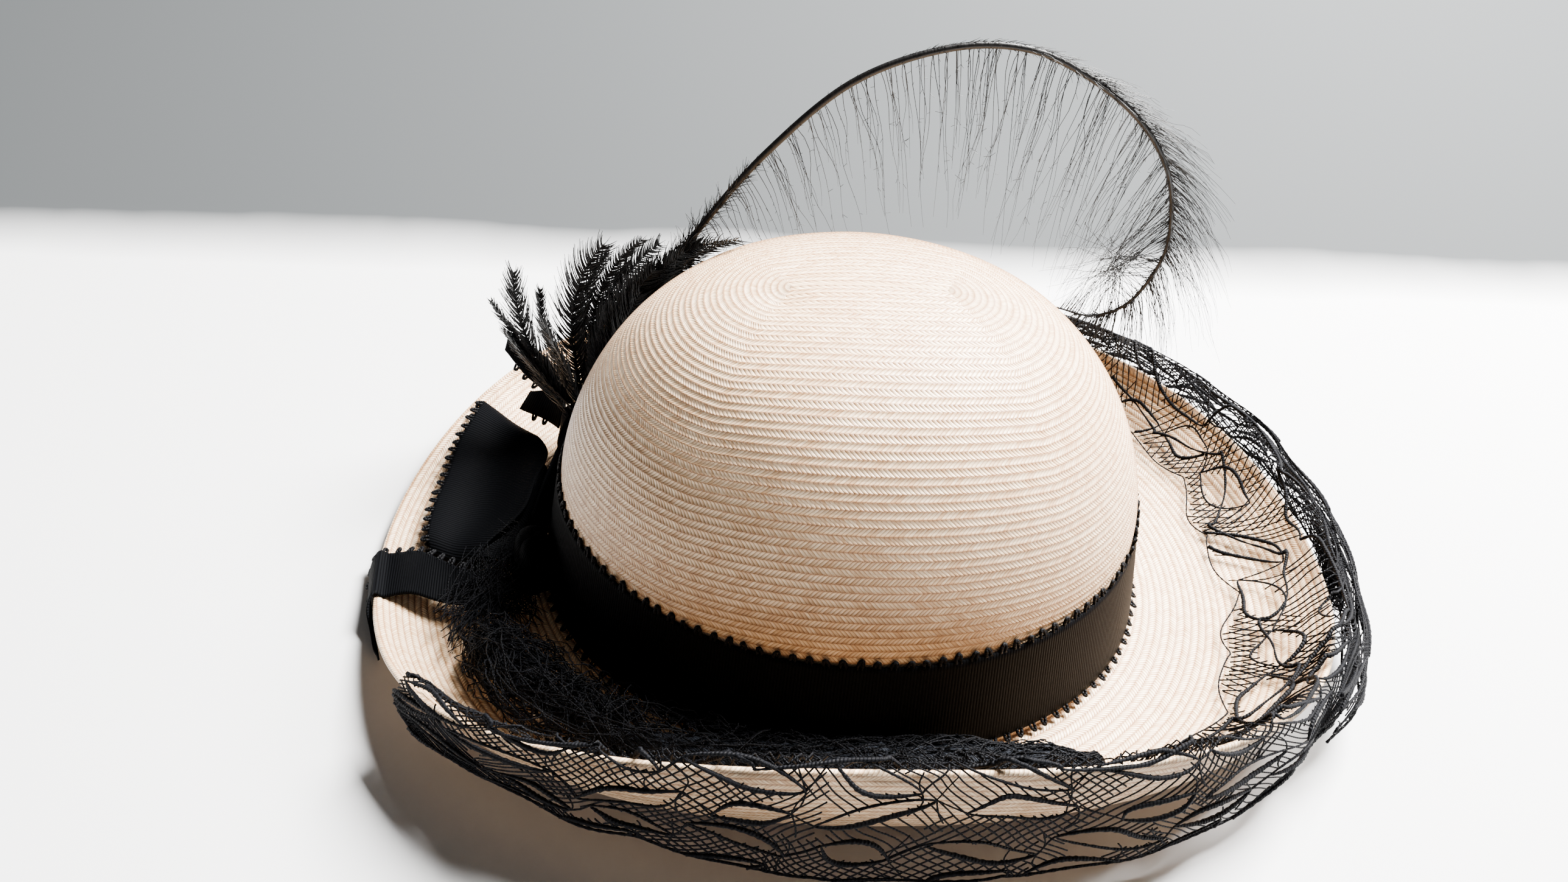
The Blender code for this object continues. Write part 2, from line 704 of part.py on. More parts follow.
make_crown()
make_brim()
make_band()
make_bow()
make_knot()
make_hackles()
make_plume()
make_veil()
make_roll()
stand_on_origin()
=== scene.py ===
import math

import bpy
import numpy as np
from mathutils import Matrix, Vector


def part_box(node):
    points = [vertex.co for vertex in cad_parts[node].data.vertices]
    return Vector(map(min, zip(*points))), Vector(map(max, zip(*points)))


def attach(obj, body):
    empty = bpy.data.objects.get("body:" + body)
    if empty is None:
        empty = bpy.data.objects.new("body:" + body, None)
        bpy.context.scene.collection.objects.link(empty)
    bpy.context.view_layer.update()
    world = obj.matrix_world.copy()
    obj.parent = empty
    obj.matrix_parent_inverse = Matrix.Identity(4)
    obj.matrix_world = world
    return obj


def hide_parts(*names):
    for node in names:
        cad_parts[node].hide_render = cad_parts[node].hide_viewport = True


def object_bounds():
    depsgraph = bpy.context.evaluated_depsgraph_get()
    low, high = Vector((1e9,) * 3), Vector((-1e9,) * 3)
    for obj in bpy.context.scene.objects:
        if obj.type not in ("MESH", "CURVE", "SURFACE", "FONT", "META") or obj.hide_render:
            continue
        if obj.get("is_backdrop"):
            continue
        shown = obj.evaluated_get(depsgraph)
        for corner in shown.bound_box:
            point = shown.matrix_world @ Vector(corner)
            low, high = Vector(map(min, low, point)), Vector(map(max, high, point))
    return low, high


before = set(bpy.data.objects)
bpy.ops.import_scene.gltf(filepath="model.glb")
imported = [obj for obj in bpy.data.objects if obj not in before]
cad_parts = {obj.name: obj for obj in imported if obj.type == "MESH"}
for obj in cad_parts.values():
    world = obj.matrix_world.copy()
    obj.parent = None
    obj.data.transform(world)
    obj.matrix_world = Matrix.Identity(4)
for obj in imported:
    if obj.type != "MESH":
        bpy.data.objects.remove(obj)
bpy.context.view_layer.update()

# The hat's own axes run through the crown's centre
low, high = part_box("crown")
SHIFT = np.array([(low[0] + high[0]) / 2, (low[1] + high[1]) / 2, 0.0])

MM = 0.001
TAU = 2 * math.pi

# Sizes of the frame's surfaces, in metres
STRAW, RIBBON, SEAT = 0.0020, 0.0010, 0.0003
FOOT_LENGTH, FOOT_WIDTH = 0.1996, 0.1786
SHOULDER_LENGTH, SHOULDER_WIDTH, SHOULDER_HEIGHT = 0.1864, 0.1704, 0.0400
CROWN_HEIGHT, PLAN_POWER, RISE_POWER = 0.1084, 3.13, 1.53
REACH_RIGHT, REACH_LEFT, REACH_FRONT, REACH_BACK = 0.0585, 0.0535, 0.0315, 0.0315
RIM_RIGHT, RIM_LEFT, RIM_FRONT, RIM_BACK = 0.0185, 0.0055, 0.0417, 0.0280
RIM_SQUARENESS, BRIM_LEVEL = 2.94, 0.0080
CURL_START, CURL_TURN, CURL_RISE = (0.45, 0.62), (0.82, 0.97), 0.35
BAND_FOOT, BAND_WIDTH = 0.0050, 0.0345
BOW_DIP, KNOT_REACH, KNOT_HEIGHT = 0.0040, 0.0120, 0.0200
PAD_REACH, PAD_HEIGHT = 0.0170, 0.0210
HACKLE_REACH = 0.0300
KNOT_ANGLES, PAD_ANGLES = (186.5, 199.0), (140.4, 154.0)
TAIL_DROP, ROLL_RADIUS = 0.0070, 0.0094
VEIL_ROWS, VEIL_LIFT, VEIL_CREST, VEIL_BULGE = 4, 0.0026, 0.0100, 0.0100
VEIL_TURN, VEIL_TUCK, VEIL_BULGE_EASE, VEIL_DROP_EASE = 0.85, 0.62, 0.7, 1.15

VEIL_SECTIONS = np.array((
    # angle, inner, crest, bulge, hem
    (-146, 0.76, 0.30, 0.50, 0.55), (-132, 0.74, 0.22, 0.50, 0.45), (-114, 0.68, 0.20, 0.60, 0.30),
    (-98, 0.64, 0.20, 0.80, 0.13), (-82, 0.62, 0.20, 0.85, 0.07), (-62, 0.58, 0.20, 0.80, 0.16),
    (-42, 0.48, 0.22, 0.70, 0.36), (-16, 0.42, 0.30, 1.00, 0.25), (6, 0.45, 0.90, 1.15, 0.35),
    (30, 0.50, 0.95, 0.70, 0.40), (52, 0.52, 0.80, 0.60, 0.35), (85, 0.56, 0.45, 0.60, 0.30),
    (112, 0.60, 0.30, 0.50, 0.30), (131, 0.66, 0.22, 0.40, 0.35),
))
ROLL_SECTIONS = np.array((
    # angle, place, size
    (-155, 0.42, 0.38), (-149, 0.42, 0.95), (-141, 0.42, 1.20), (-130, 0.40, 1.10), (-114, 0.355, 1.00),
    (-96, 0.345, 1.00), (-80, 0.345, 0.98), (-68, 0.35, 0.75), (-58, 0.38, 0.35),
))
LOOP_SECTIONS = (
    # angle, place, lift, angle, place, lift, dip
    (185.6, 0.61, 0.20, 189.5, 0.36, 0.30, 0.0), (183.0, 0.655, 0.42, 187.0, 0.31, 0.60, 0.5),
    (177.0, 0.675, 0.44, 179.0, 0.150, 0.72, 1.0), (169.0, 0.70, 0.42, 169.5, 0.145, 0.72, 1.0),
    (161.0, 0.81, 0.34, 160.5, 0.180, 0.70, 0.9), (154.0, 0.93, 0.24, 156.5, 0.30, 0.66, 0.4),
    (151.5, 0.96, 0.13, 154.0, 0.43, 0.34, 0.0), (153.5, 0.91, 0.06, 156.5, 0.33, 0.07, 0.0),
    (161.0, 0.79, 0.06, 161.0, 0.20, 0.06, 0.0), (169.0, 0.68, 0.06, 169.5, 0.155, 0.06, 0.0),
    (177.0, 0.655, 0.06, 178.0, 0.160, 0.06, 0.0), (183.5, 0.64, 0.06, 186.5, 0.33, 0.07, 0.0),
)
TAIL_SECTIONS = (
    # angle, place, lift, angle, place, lift
    (194.0, 0.262, 0.62, 198.6, 0.265, 0.40), (193.0, 0.40, 0.60, 198.4, 0.42, 0.38),
    (189.4, 0.54, 0.52, 196.8, 0.58, 0.36), (185.8, 0.71, 0.36, 194.0, 0.75, 0.28),
    (184.0, 0.93, 0.045, 192.8, 0.93, 0.045),
)
TAIL_DROP_SECTIONS = (
    # angle, distance, height, angle, distance, height
    (184.0, 0.13, 1.10, 192.8, 0.10, 1.07), (185.6, 0.45, 0.75, 194.4, 0.40, 0.75),
    (188.2, 0.50, 0.30, 196.6, 0.42, 0.40), (191.6, 0.42, 0.12, 199.4, 0.36, 0.25),
    (194.8, 0.36, 0.08, 201.6, 0.30, 0.18),
)
GATHER_SECTIONS = (
    # angle, place, lift, angle, place, lift
    (189.0, 0.36, 0.50, 190.5, 0.10, 0.66), (184.5, 0.31, 0.57, 186.5, 0.07, 0.62),
    (177.5, 0.165, 0.69, 178.5, 0.055, 0.56), (169.5, 0.155, 0.69, 170.0, 0.055, 0.54),
    (163.0, 0.185, 0.67, 164.0, 0.055, 0.54),
)
GATHER_DIPS = (0.0015, 0.003, 0.004, 0.004, 0.003)
SIDE_FOLD_SECTIONS = (
    # angle, low, high, lean
    (184.8, 0.30, 1.15, 0.42), (179.0, 0.25, 1.20, 0.30), (172.0, 0.25, 1.25, 0.28),
    (165.0, 0.25, 1.28, 0.34), (158.5, 0.28, 1.28, 0.50),
)
END_SECTIONS = {
    "bow_end_long": (
        # angle, height, lift, angle, height, lift
        (145.6, 1.20, 1.14, 147.4, 0.95, 1.14), (145.2, 1.38, 1.75, 147.2, 0.95, 1.75),
        (144.8, 1.48, 2.15, 147.0, 1.08, 2.40), (144.8, 1.60, 2.85, 146.6, 1.22, 2.80),
        (146.0, 1.70, 3.20, 146.3, 1.42, 3.22),
    ),
    "bow_end_short": (
        # angle, height, lift, angle, height, lift
        (149.6, 1.22, 1.13, 151.0, 0.62, 1.13), (149.0, 1.20, 1.60, 150.4, 0.66, 1.70),
        (149.2, 1.05, 2.10, 150.4, 0.66, 2.25),
    ),
}
QUILL_PATH = np.array((
    # along, back, up
    (-0.800, 0.700, 0.190), (-0.810, 0.700, 0.300), (-0.790, 0.700, 0.450), (-0.645, 0.700, 0.660),
    (-0.500, 0.700, 0.870), (-0.300, 0.705, 1.110), (-0.040, 0.715, 1.335), (0.250, 0.725, 1.445),
    (0.510, 0.745, 1.450), (0.740, 0.765, 1.365), (0.940, 0.780, 1.235), (1.080, 0.795, 1.075),
    (1.150, 0.810, 0.890), (1.160, 0.825, 0.735), (1.090, 0.840, 0.570), (0.970, 0.855, 0.505),
    (0.830, 0.870, 0.525),
))


def add_object(name, data):
    item = bpy.data.objects.new(name, data)
    bpy.context.scene.collection.objects.link(item)
    return item


# Camera: fitted to the photograph
AZIMUTH, ELEVATION, ROLL, DISTANCE, LENS = -4.4, 37.6, 4.2, 0.379, 27.0
LOOK_AT = (-0.022, 0, 0.050)
azimuth, elevation, roll = (math.radians(v) for v in (AZIMUTH, ELEVATION, ROLL))
back = Vector((math.sin(azimuth) * math.cos(elevation), -math.cos(azimuth) * math.cos(elevation),
               math.sin(elevation)))
right = (-back).cross(Vector((0, 0, 1))).normalized()
up = right.cross(-back)
right, up = (right * math.cos(roll) + up * math.sin(roll), up * math.cos(roll) - right * math.sin(roll))
place = Vector(LOOK_AT) + Vector(SHIFT) + back * DISTANCE
camera_data = bpy.data.cameras.new("camera")
camera = add_object("camera", camera_data)
camera_data.lens = LENS
camera_data.sensor_width = 36
camera_data.clip_start = 0.01
camera.matrix_world = Matrix((
    (right.x, up.x, back.x, place.x), (right.y, up.y, back.y, place.y),
    (right.z, up.z, back.z, place.z), (0, 0, 0, 1)))
bpy.context.scene.camera = camera


# Small helpers
def mix(a, b, share):
    return a + (b - a) * share


def smooth(edge0, edge1, value):
    share = np.clip((value - edge0) / (edge1 - edge0), 0, 1)
    return share * share * (3 - 2 * share)


def unit(vectors):
    return vectors / np.maximum(np.linalg.norm(vectors, axis=-1, keepdims=True), 1e-12)


def curve_through(points, count, closed=False):
    """count points at even steps of a Catmull-Rom curve through the given ones."""
    points = np.asarray(points, float)
    size = len(points)
    if closed:
        places = np.arange(count) / count * size
        index = places.astype(int)
        before, start, end, after = (points[(index + step) % size] for step in (-1, 0, 1, 2))
    else:
        padded = np.concatenate([[2 * points[0] - points[1]], points, [2 * points[-1] - points[-2]]])
        places = np.linspace(0, size - 1, count)
        index = np.minimum(places.astype(int), size - 2)
        before, start, end, after = (padded[index + step] for step in range(4))
    t = (places - index).reshape((-1,) + (1,) * (points.ndim - 1))
    return (2 * start + (end - before) * t + (2 * before - 5 * start + 4 * end - after) * t ** 2
            + (3 * start - before - 3 * end + after) * t ** 3) / 2


def run_length(line):
    """Distance along a line of points, or down each column of a grid."""
    steps = np.linalg.norm(np.diff(line, axis=0), axis=-1)
    return np.concatenate([np.zeros((1, *steps.shape[1:])), np.cumsum(steps, 0)])


def sample(at, places, table):
    """Rows of a table at places between its own."""
    return np.stack([np.interp(at, places, column) for column in table.T], -1)


def between_rows(table, at):
    """A table's columns, eased from row to row, at values of its first column."""
    index = np.clip(np.searchsorted(table[:, 0], at) - 1, 0, len(table) - 2)
    first, last = table[index], table[index + 1]
    share = smooth(0, 1, (at - first[..., 0]) / (last[..., 0] - first[..., 0]))[..., None]
    return np.moveaxis(mix(first[..., 1:], last[..., 1:], share), -1, 0)


def upward(height):
    return np.stack([0 * height, 0 * height, height], -1)


def ripple(x, y, seed, waves=6, scale=1.0):
    """Smooth repeatable noise of two coordinates, about -1 to 1."""
    local = np.random.default_rng(seed)
    total = 0
    for _ in range(waves):
        turn, size, phase = local.uniform(0, TAU), local.uniform(0.5, 1.6) * scale, local.uniform(0, TAU)
        total = total + np.sin((x * math.cos(turn) + y * math.sin(turn)) * size + phase)
    return total / waves * 1.6


# The frame's surfaces
def crown_half(height):
    wall = np.clip(height / SHOULDER_HEIGHT, None, 1)
    rise = np.clip((height - SHOULDER_HEIGHT) / (CROWN_HEIGHT - SHOULDER_HEIGHT), 0, 1)
    size = (1 - rise ** RISE_POWER) ** (1 / PLAN_POWER)
    dome = height > SHOULDER_HEIGHT
    half_length = np.where(dome, SHOULDER_LENGTH / 2 * size, mix(FOOT_LENGTH, SHOULDER_LENGTH, wall) / 2)
    half_width = np.where(dome, SHOULDER_WIDTH / 2 * size, mix(FOOT_WIDTH, SHOULDER_WIDTH, wall) / 2)
    return half_length, half_width


def crown_point(angle, height, lift=0.0):
    angle, height, lift = np.broadcast_arrays(angle, height, lift)
    half_length, half_width = crown_half(height)
    return np.stack([(half_length + lift) * np.cos(angle), (half_width + lift) * np.sin(angle),
                     height * np.ones_like(angle, dtype=float)], -1)


def rim(angle):
    along, across = np.cos(angle), np.sin(angle)
    side = 1 - np.abs(along) ** RIM_SQUARENESS
    reach_x = FOOT_LENGTH / 2 + np.where(along > 0, REACH_RIGHT, REACH_LEFT)
    reach_y = FOOT_WIDTH / 2 + np.where(across > 0, REACH_BACK, REACH_FRONT)
    plan = np.stack([reach_x * along, np.sign(across) * reach_y * np.sqrt(side), 0 * along], -1)
    height = mix(np.where(along > 0, RIM_RIGHT, RIM_LEFT), np.where(across > 0, RIM_BACK, RIM_FRONT), side)
    return plan, height, side


def brim_section(angle):
    foot = crown_point(angle, 0.0)
    edge, height, side = rim(angle)
    out = edge - foot
    reach = np.linalg.norm(out, axis=-1)
    curl = reach - BRIM_LEVEL
    handles = np.stack([
        np.stack([BRIM_LEVEL + 0 * reach, STRAW + 0 * reach], -1),
        np.stack([BRIM_LEVEL + curl * mix(*CURL_START, side), STRAW + 0 * reach], -1),
        np.stack([BRIM_LEVEL + curl * mix(*CURL_TURN, side), mix(STRAW, height, CURL_RISE)], -1),
        np.stack([reach, height], -1)])
    return foot, out / reach[..., None], reach, handles


def brim_point(angle, share, lift=0.0):
    angle, share, lift = (np.asarray(v, float) for v in np.broadcast_arrays(angle, share, lift))
    foot, out, reach, (start, first, second, end) = brim_section(angle)
    level = BRIM_LEVEL / reach
    t = np.clip((share - level) / (1 - level), 0, None)[..., None]
    u = 1 - t
    place = u ** 3 * start + 3 * u * u * t * first + 3 * u * t * t * second + t ** 3 * end
    slope = unit(u * u * (first - start) + 2 * u * t * (second - first) + t * t * (end - second))
    place = place + lift[..., None] * np.stack([-slope[..., 1], slope[..., 0]], -1)
    flat = share <= level
    distance = np.where(flat, share * reach, place[..., 0])
    height = np.where(flat, STRAW + lift, place[..., 1])
    return foot + out * distance[..., None] + upward(height)


def past_rim(angle, distance, height):
    foot, out, reach, _ = brim_section(np.asarray(angle, float))
    return foot + out * (reach + distance)[..., None] + upward(height)


# Mesh making
# Each material's slot in the CAD model
SLOTS = {"straw_braid": "straw_braid", "black_grosgrain": "black_grosgrain", "picot_thread": "black_grosgrain",
         "black_feather": "black_feather", "black_net": "black_net", "gathered_net": "black_net"}


def make_piece(name, points, faces, material, uvs, replaces=()):
    """A piece from points in the hat's axes; faces are a list of index arrays, each n by 3 or more."""
    mesh = bpy.data.meshes.new(name)
    points = np.asarray(points, float).reshape(-1, 3) + SHIFT
    mesh.vertices.add(len(points))
    mesh.vertices.foreach_set("co", points.astype(np.float32).ravel())
    corners = np.concatenate([f.ravel() for f in faces]).astype(np.int32)
    sizes = np.concatenate([np.full(len(f), f.shape[1]) for f in faces])
    starts = np.concatenate([[0], np.cumsum(sizes)[:-1]]).astype(np.int32)
    mesh.loops.add(len(corners))
    mesh.polygons.add(len(sizes))
    mesh.polygons.foreach_set("loop_start", starts)
    mesh.polygons.foreach_set("vertices", corners)
    layer = mesh.uv_layers.new(name="UVMap")
    corner_uvs = np.concatenate([u.reshape(-1, 2) for u in uvs])
    layer.data.foreach_set("uv", corner_uvs.astype(np.float32).ravel())
    mesh.update(calc_edges=True)
    mesh.validate()
    mesh.shade_smooth()
    mesh.materials.append(material)
    piece = add_object(name, mesh)
    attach(piece, "root")
    SLOTS[material.name.split(".")[0]]
    if replaces:
        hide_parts(*replaces)
    return piece


def grid_faces(rows, columns, wrap_rows=False, wrap_columns=False, start=0):
    """Quads of a grid of points numbered row by row."""
    r = np.arange(rows if wrap_rows else rows - 1)
    c = np.arange(columns if wrap_columns else columns - 1)
    r, c = np.meshgrid(r, c, indexing="ij")
    r2, c2 = (r + 1) % rows, (c + 1) % columns
    return start + np.stack([r * columns + c, r * columns + c2, r2 * columns + c2, r2 * columns + c],
                            -1).reshape(-1, 4)


def grid_uvs(u, v):
    """Corner coordinates for grid_faces, from u for each column line and v for each row line."""
    u, v = np.asarray(u, float), np.asarray(v, float)
    u2, v2 = np.meshgrid(u, v)
    return np.stack([np.stack([u2[:-1, :-1], v2[:-1, :-1]], -1), np.stack([u2[:-1, 1:], v2[:-1, 1:]], -1),
                     np.stack([u2[1:, 1:], v2[1:, 1:]], -1), np.stack([u2[1:, :-1], v2[1:, :-1]], -1)],
                    -2).reshape(-1, 4, 2)


def surface_normals(points, wrap_rows=False, wrap_columns=False):
    def change(axis, wrap):
        return np.roll(points, -1, axis) - np.roll(points, 1, axis) if wrap else np.gradient(points, axis=axis)

    return unit(np.cross(change(1, wrap_columns), change(0, wrap_rows)))


class Threads:
    """Collects thin tubes along polylines into one mesh."""

    def __init__(self):
        self.points, self.quads, self.caps, self.quad_uvs, self.cap_uvs = [], [], {}, [], []
        self.count = 0
        self.surface = 0.0

    def add(self, line, radius, sides=3, cap=True):
        line = np.asarray(line, float)
        size = len(line)
        if size < 2:
            return
        radius = np.broadcast_to(np.asarray(radius, float), (size,))
        ahead = unit(np.gradient(line, axis=0))
        away = np.zeros(3)
        away[np.argmin(np.abs(ahead.mean(0)))] = 1
        side = unit(np.cross(ahead, away))
        over = np.cross(ahead, side)
        turn = TAU * np.arange(sides) / sides
        ring = (line[:, None] + radius[:, None, None]
                * (side[:, None] * np.cos(turn)[None, :, None] + over[:, None] * np.sin(turn)[None, :, None]))
        self.points.append(ring.reshape(-1, 3))
        self.quads.append(grid_faces(size, sides, wrap_columns=True, start=self.count))
        steps = run_length(line)
        self.quad_uvs.append(grid_uvs(np.arange(sides + 1) / sides, steps * 1000))
        if cap:
            first = self.count + np.arange(sides)[::-1]
            last = self.count + (size - 1) * sides + np.arange(sides)
            self.caps.setdefault(sides, []).extend([first, last])
        self.count += size * sides
        self.surface += steps[-1] * radius.mean() * TAU

    def piece(self, name, material, **words):
        faces = [np.concatenate(self.quads)]
        uvs = [np.concatenate(self.quad_uvs)]
        for sides, caps in self.caps.items():
            faces.append(np.array(caps))
            uvs.append(np.zeros((len(caps), sides, 2)))
        return make_piece(name, np.concatenate(self.points), faces, material, uvs, **words)


def shell(name, middle, thickness, u, v, material, wrap=False, **words):
    """A closed skin either side of a grid of points; wrap joins the last row to the first."""
    rows, columns = middle.shape[:2]
    offset = surface_normals(middle, wrap_rows=wrap) * thickness / 2
    ring = np.concatenate([middle + offset, (middle - offset)[:, ::-1]], 1)
    wide = 2 * columns
    faces = [grid_faces(rows, wide, wrap_rows=wrap, wrap_columns=True)]
    across = np.concatenate([v, v[::-1], v[:1]])
    lengths = np.asarray(u, float)
    if wrap:
        lengths = np.append(lengths, 2 * lengths[-1] - lengths[-2])
    uvs = [grid_uvs(across, lengths)[..., ::-1]]
    if not wrap:
        for row, flip in ((0, True), (rows - 1, False)):
            ids = row * wide + np.arange(wide)
            pairs = np.stack([ids[:columns - 1], ids[1:columns], ids[wide - 2:columns - 1:-1],
                              ids[wide - 1:columns:-1]], -1)
            faces.append(pairs[:, ::-1] if flip else pairs)
            uvs.append(np.zeros((len(pairs), 4, 2)))
    return make_piece(name, ring, faces, material, uvs, **words)


# Materials
def new_material(name, colour, roughness, sheen=0.0, specular=0.5):
    material = bpy.data.materials.new(name)
    material.use_nodes = True
    shader = material.node_tree.nodes["Principled BSDF"]
    shader.inputs["Base Color"].default_value = (*colour, 1)
    shader.inputs["Roughness"].default_value = roughness
    shader.inputs["Specular IOR Level"].default_value = specular
    shader.inputs["Sheen Weight"].default_value = sheen
    return material, shader


class Nodes:
    """Short names for building node trees."""

    def __init__(self, material):
        self.tree = material.node_tree

    def join(self, source, target):
        self.tree.links.new(source, target)

    def node(self, kind, inputs, output=0, **settings):
        """A new node's output; inputs are pairs of a socket and a number or another node's output."""
        node = self.tree.nodes.new("ShaderNode" + kind)
        for name, setting in settings.items():
            setattr(node, name, setting)
        for socket, value in inputs:
            if isinstance(value, (int, float)):
                node.inputs[socket].default_value = value
            else:
                self.join(value, node.inputs[socket])
        return node.outputs[output]

    def split(self, vector):
        return self.node("SeparateXYZ", [(0, vector)], slice(0, 2))

    def uv(self):
        return self.split(self.node("UVMap", (), uv_map="UVMap"))

    def object_place(self):
        return self.node("TexCoord", (), "Object")

    def math(self, operation, *values):
        return self.node("Math", enumerate(values), operation=operation)

    def times(self, first, second):
        return self.math("MULTIPLY", first, second)

    def plus(self, first, second):
        return self.math("ADD", first, second)

    def combine(self, *values):
        return self.node("CombineXYZ", enumerate(values))

    def noise(self, place, scale, detail=2.0):
        return self.node("TexNoise", [("Vector", place), ("Scale", scale), ("Detail", detail)], "Fac")

    def ramp(self, value, stops):
        node = self.tree.nodes.new("ShaderNodeValToRGB")
        while len(node.color_ramp.elements) < len(stops):
            node.color_ramp.elements.new(0.5)
        for element, (position, colour) in zip(node.color_ramp.elements, stops):
            element.position = position
            element.color = (*colour, 1)
        self.join(value, node.inputs[0])
        return node.outputs[0]

    def grey(self, value, *limits):
        """Maps the value from the first pair of limits to the second."""
        names = ("From Min", "From Max", "To Min", "To Max")
        return self.node("MapRange", [("Value", value), *zip(names, limits)])

    def multiply(self, first, second, amount=1.0):
        return self.node("Mix", [("Factor", amount), (6, first), (7, second)], 2,
                         data_type="RGBA", blend_type="MULTIPLY")

    def finish(self, shader, colour, height, distance, strength, gloss, smoothest, roughest):
        """Connects colour, relief and roughness; gloss is a noise, read between 0.3 and 0.7."""
        bump = self.node("Bump", [("Strength", strength), ("Distance", distance), ("Height", height)])
        self.join(colour, shader.inputs["Base Color"])
        self.join(bump, shader.inputs["Normal"])
        self.join(self.grey(gloss, 0.3, 0.7, smoothest, roughest), shader.inputs["Roughness"])


WHITE = (1.0, 1.0, 1.0)
STRAW_TINTS = ((0.0, (0.61, 0.41, 0.24)), (0.35, (0.71, 0.525, 0.34)), (1.0, (0.84, 0.665, 0.465)))
STRAW_PATCHES = ((0.3, (0.90, 0.86, 0.81)), (0.7, WHITE))
STRAW_STREAKS = ((0.3, (0.88, 0.83, 0.77)), (0.7, WHITE))
# painted shade: the straw darkens towards the groove at each row's edges, where rows meet
STRAW_GROOVE_SHADE = ((0.20, WHITE), (0.40, (0.74, 0.62, 0.51)), (0.5, (0.40, 0.27, 0.18)))
# painted shade: each strand darkens towards its edges, between the strands
STRAW_STRAND_SHADE = ((0.0, (0.50, 0.37, 0.26)), (0.65, WHITE))
STRAND_SLANT = 1.7
RIB_PITCH = 0.95  # mm
# painted highlight on the rib crests and painted shade between ribs, varied by random thread tone
RIBBON_RIB_HIGHLIGHT_AND_THREAD_TONES = ((0.0, (0.0003, 0.0003, 0.0004)), (1.0, (0.0022, 0.0024, 0.0030)))
FEATHER_TINTS = ((0.3, (0.0012, 0.0012, 0.0014)), (0.7, (0.006, 0.0055, 0.0055)))


def straw_material():
    """Sewn braid: u counts strands along a row, v counts rows; the slant turns round from row to row."""
    material, shader = new_material("straw_braid", (0.80, 0.68, 0.52), 0.42, sheen=0.05, specular=0.5)
    n = Nodes(material)
    u, v = n.uv()
    inside = n.math("FRACT", v)
    row = n.math("FLOOR", v)
    side = n.math("SUBTRACT", n.times(n.math("FLOORED_MODULO", row, 2.0), 2.0), 1.0)
    slant = n.plus(u, n.times(n.times(side, inside), STRAND_SLANT))
    strand = n.math("SINE", n.times(n.math("FRACT", slant), math.pi))
    tint = n.node("TexWhiteNoise", [("Vector", n.combine(n.math("FLOOR", slant), row))], "Value",
                  noise_dimensions="2D")
    place = n.object_place()
    broad = n.ramp(n.noise(place, 16.0, 3.0), STRAW_PATCHES)
    streak = n.ramp(n.noise(n.combine(n.times(u, 0.12), n.times(v, 0.9)), 1.0, 3.0), STRAW_STREAKS)
    # painted shade: each row is darkened towards its grooved edges
    groove_shade = n.ramp(n.math("ABSOLUTE", n.math("SUBTRACT", inside, 0.5)), STRAW_GROOVE_SHADE)
    # painted shade at the edges of each strand, between strands; the same strand profile also drives the relief
    gap = n.ramp(strand, STRAW_STRAND_SHADE)
    colour = n.multiply(n.multiply(n.ramp(tint, STRAW_TINTS), broad), streak)
    colour = n.multiply(n.multiply(colour, gap, 0.8), groove_shade)
    fuzzy = n.noise(place, 1500.0)
    height = n.plus(n.math("POWER", strand, 0.6), n.times(fuzzy, 0.5))
    n.finish(shader, colour, height, 0.00016, 0.9, fuzzy, 0.34, 0.52)
    return material


def ribbon_material():
    """Black grosgrain: u is the length in millimetres, ribs run across it."""
    material, shader = new_material("black_grosgrain", (0.002, 0.002, 0.003), 0.65, specular=0.016)
    n = Nodes(material)
    u, v = n.uv()
    rib = n.math("ABSOLUTE", n.math("SINE", n.times(u, math.pi / RIB_PITCH)))
    threads = n.noise(n.combine(n.times(u, 1.5), n.times(v, 6.0)), 1.0)
    height = n.plus(rib, n.times(threads, 0.35))
    # painted highlight: the colour lightens on each rib crest and darkens between ribs, with random thread tone
    colour = n.ramp(n.times(rib, n.plus(threads, 0.35)), RIBBON_RIB_HIGHLIGHT_AND_THREAD_TONES)
    n.finish(shader, colour, height, 0.00014, 0.8, threads, 0.56, 0.70)
    return material


def thread_material(name, colour, light, roughness):
    """Twisted thread: u goes round it, v is the length in millimetres."""
    material, shader = new_material(name, colour, roughness, specular=0.06)
    n = Nodes(material)
    u, v = n.uv()
    twist = n.math("SINE", n.times(n.plus(n.times(u, 1.1), v), TAU))
    patch = n.noise(n.object_place(), 900.0, 3.0)
    n.finish(shader, n.ramp(patch, ((0.3, colour), (0.75, light))), n.plus(twist, n.times(patch, 2.0)),
             0.00012, 0.7, patch, roughness - 0.08, roughness + 0.08)
    return material


def feather_material():
    """Black barbs with a soft gloss along them."""
    material, shader = new_material("black_feather", (0.003, 0.003, 0.003), 0.42, specular=0.2)
    n = Nodes(material)
    u, v = n.uv()
    streak = n.noise(n.combine(n.times(u, 0.6), n.times(v, 3.0)), 1.0, 3.0)
    mixed = n.times(n.plus(streak, n.noise(n.object_place(), 260.0)), 0.5)
    n.finish(shader, n.ramp(mixed, FEATHER_TINTS), streak, 0.0001, 0.5, streak, 0.30, 0.48)
    return material


straw = straw_material()
ribbon = ribbon_material()
lace = thread_material("black_net", (0.0008, 0.0008, 0.0011), (0.0026, 0.0028, 0.0042), 0.65)
fuzz = thread_material("gathered_net", (0.003, 0.0033, 0.0045), (0.014, 0.016, 0.021), 0.75)
loops = thread_material("picot_thread", (0.0015, 0.0015, 0.0018), (0.005, 0.005, 0.006), 0.55)
feather = feather_material()

# Straw: rows of braid sewn edge to edge, drawn as real ridges
AROUND = 240  # columns round the hat
ROW_PITCH = 2.1 * MM
ROW_STEPS = np.array((0.0, 0.18, 0.50, 0.82))
ROW_RELIEF = np.array((0.0, 0.72, 1.0, 0.72)) * 0.26 * MM
STRAND = 1.15 * MM


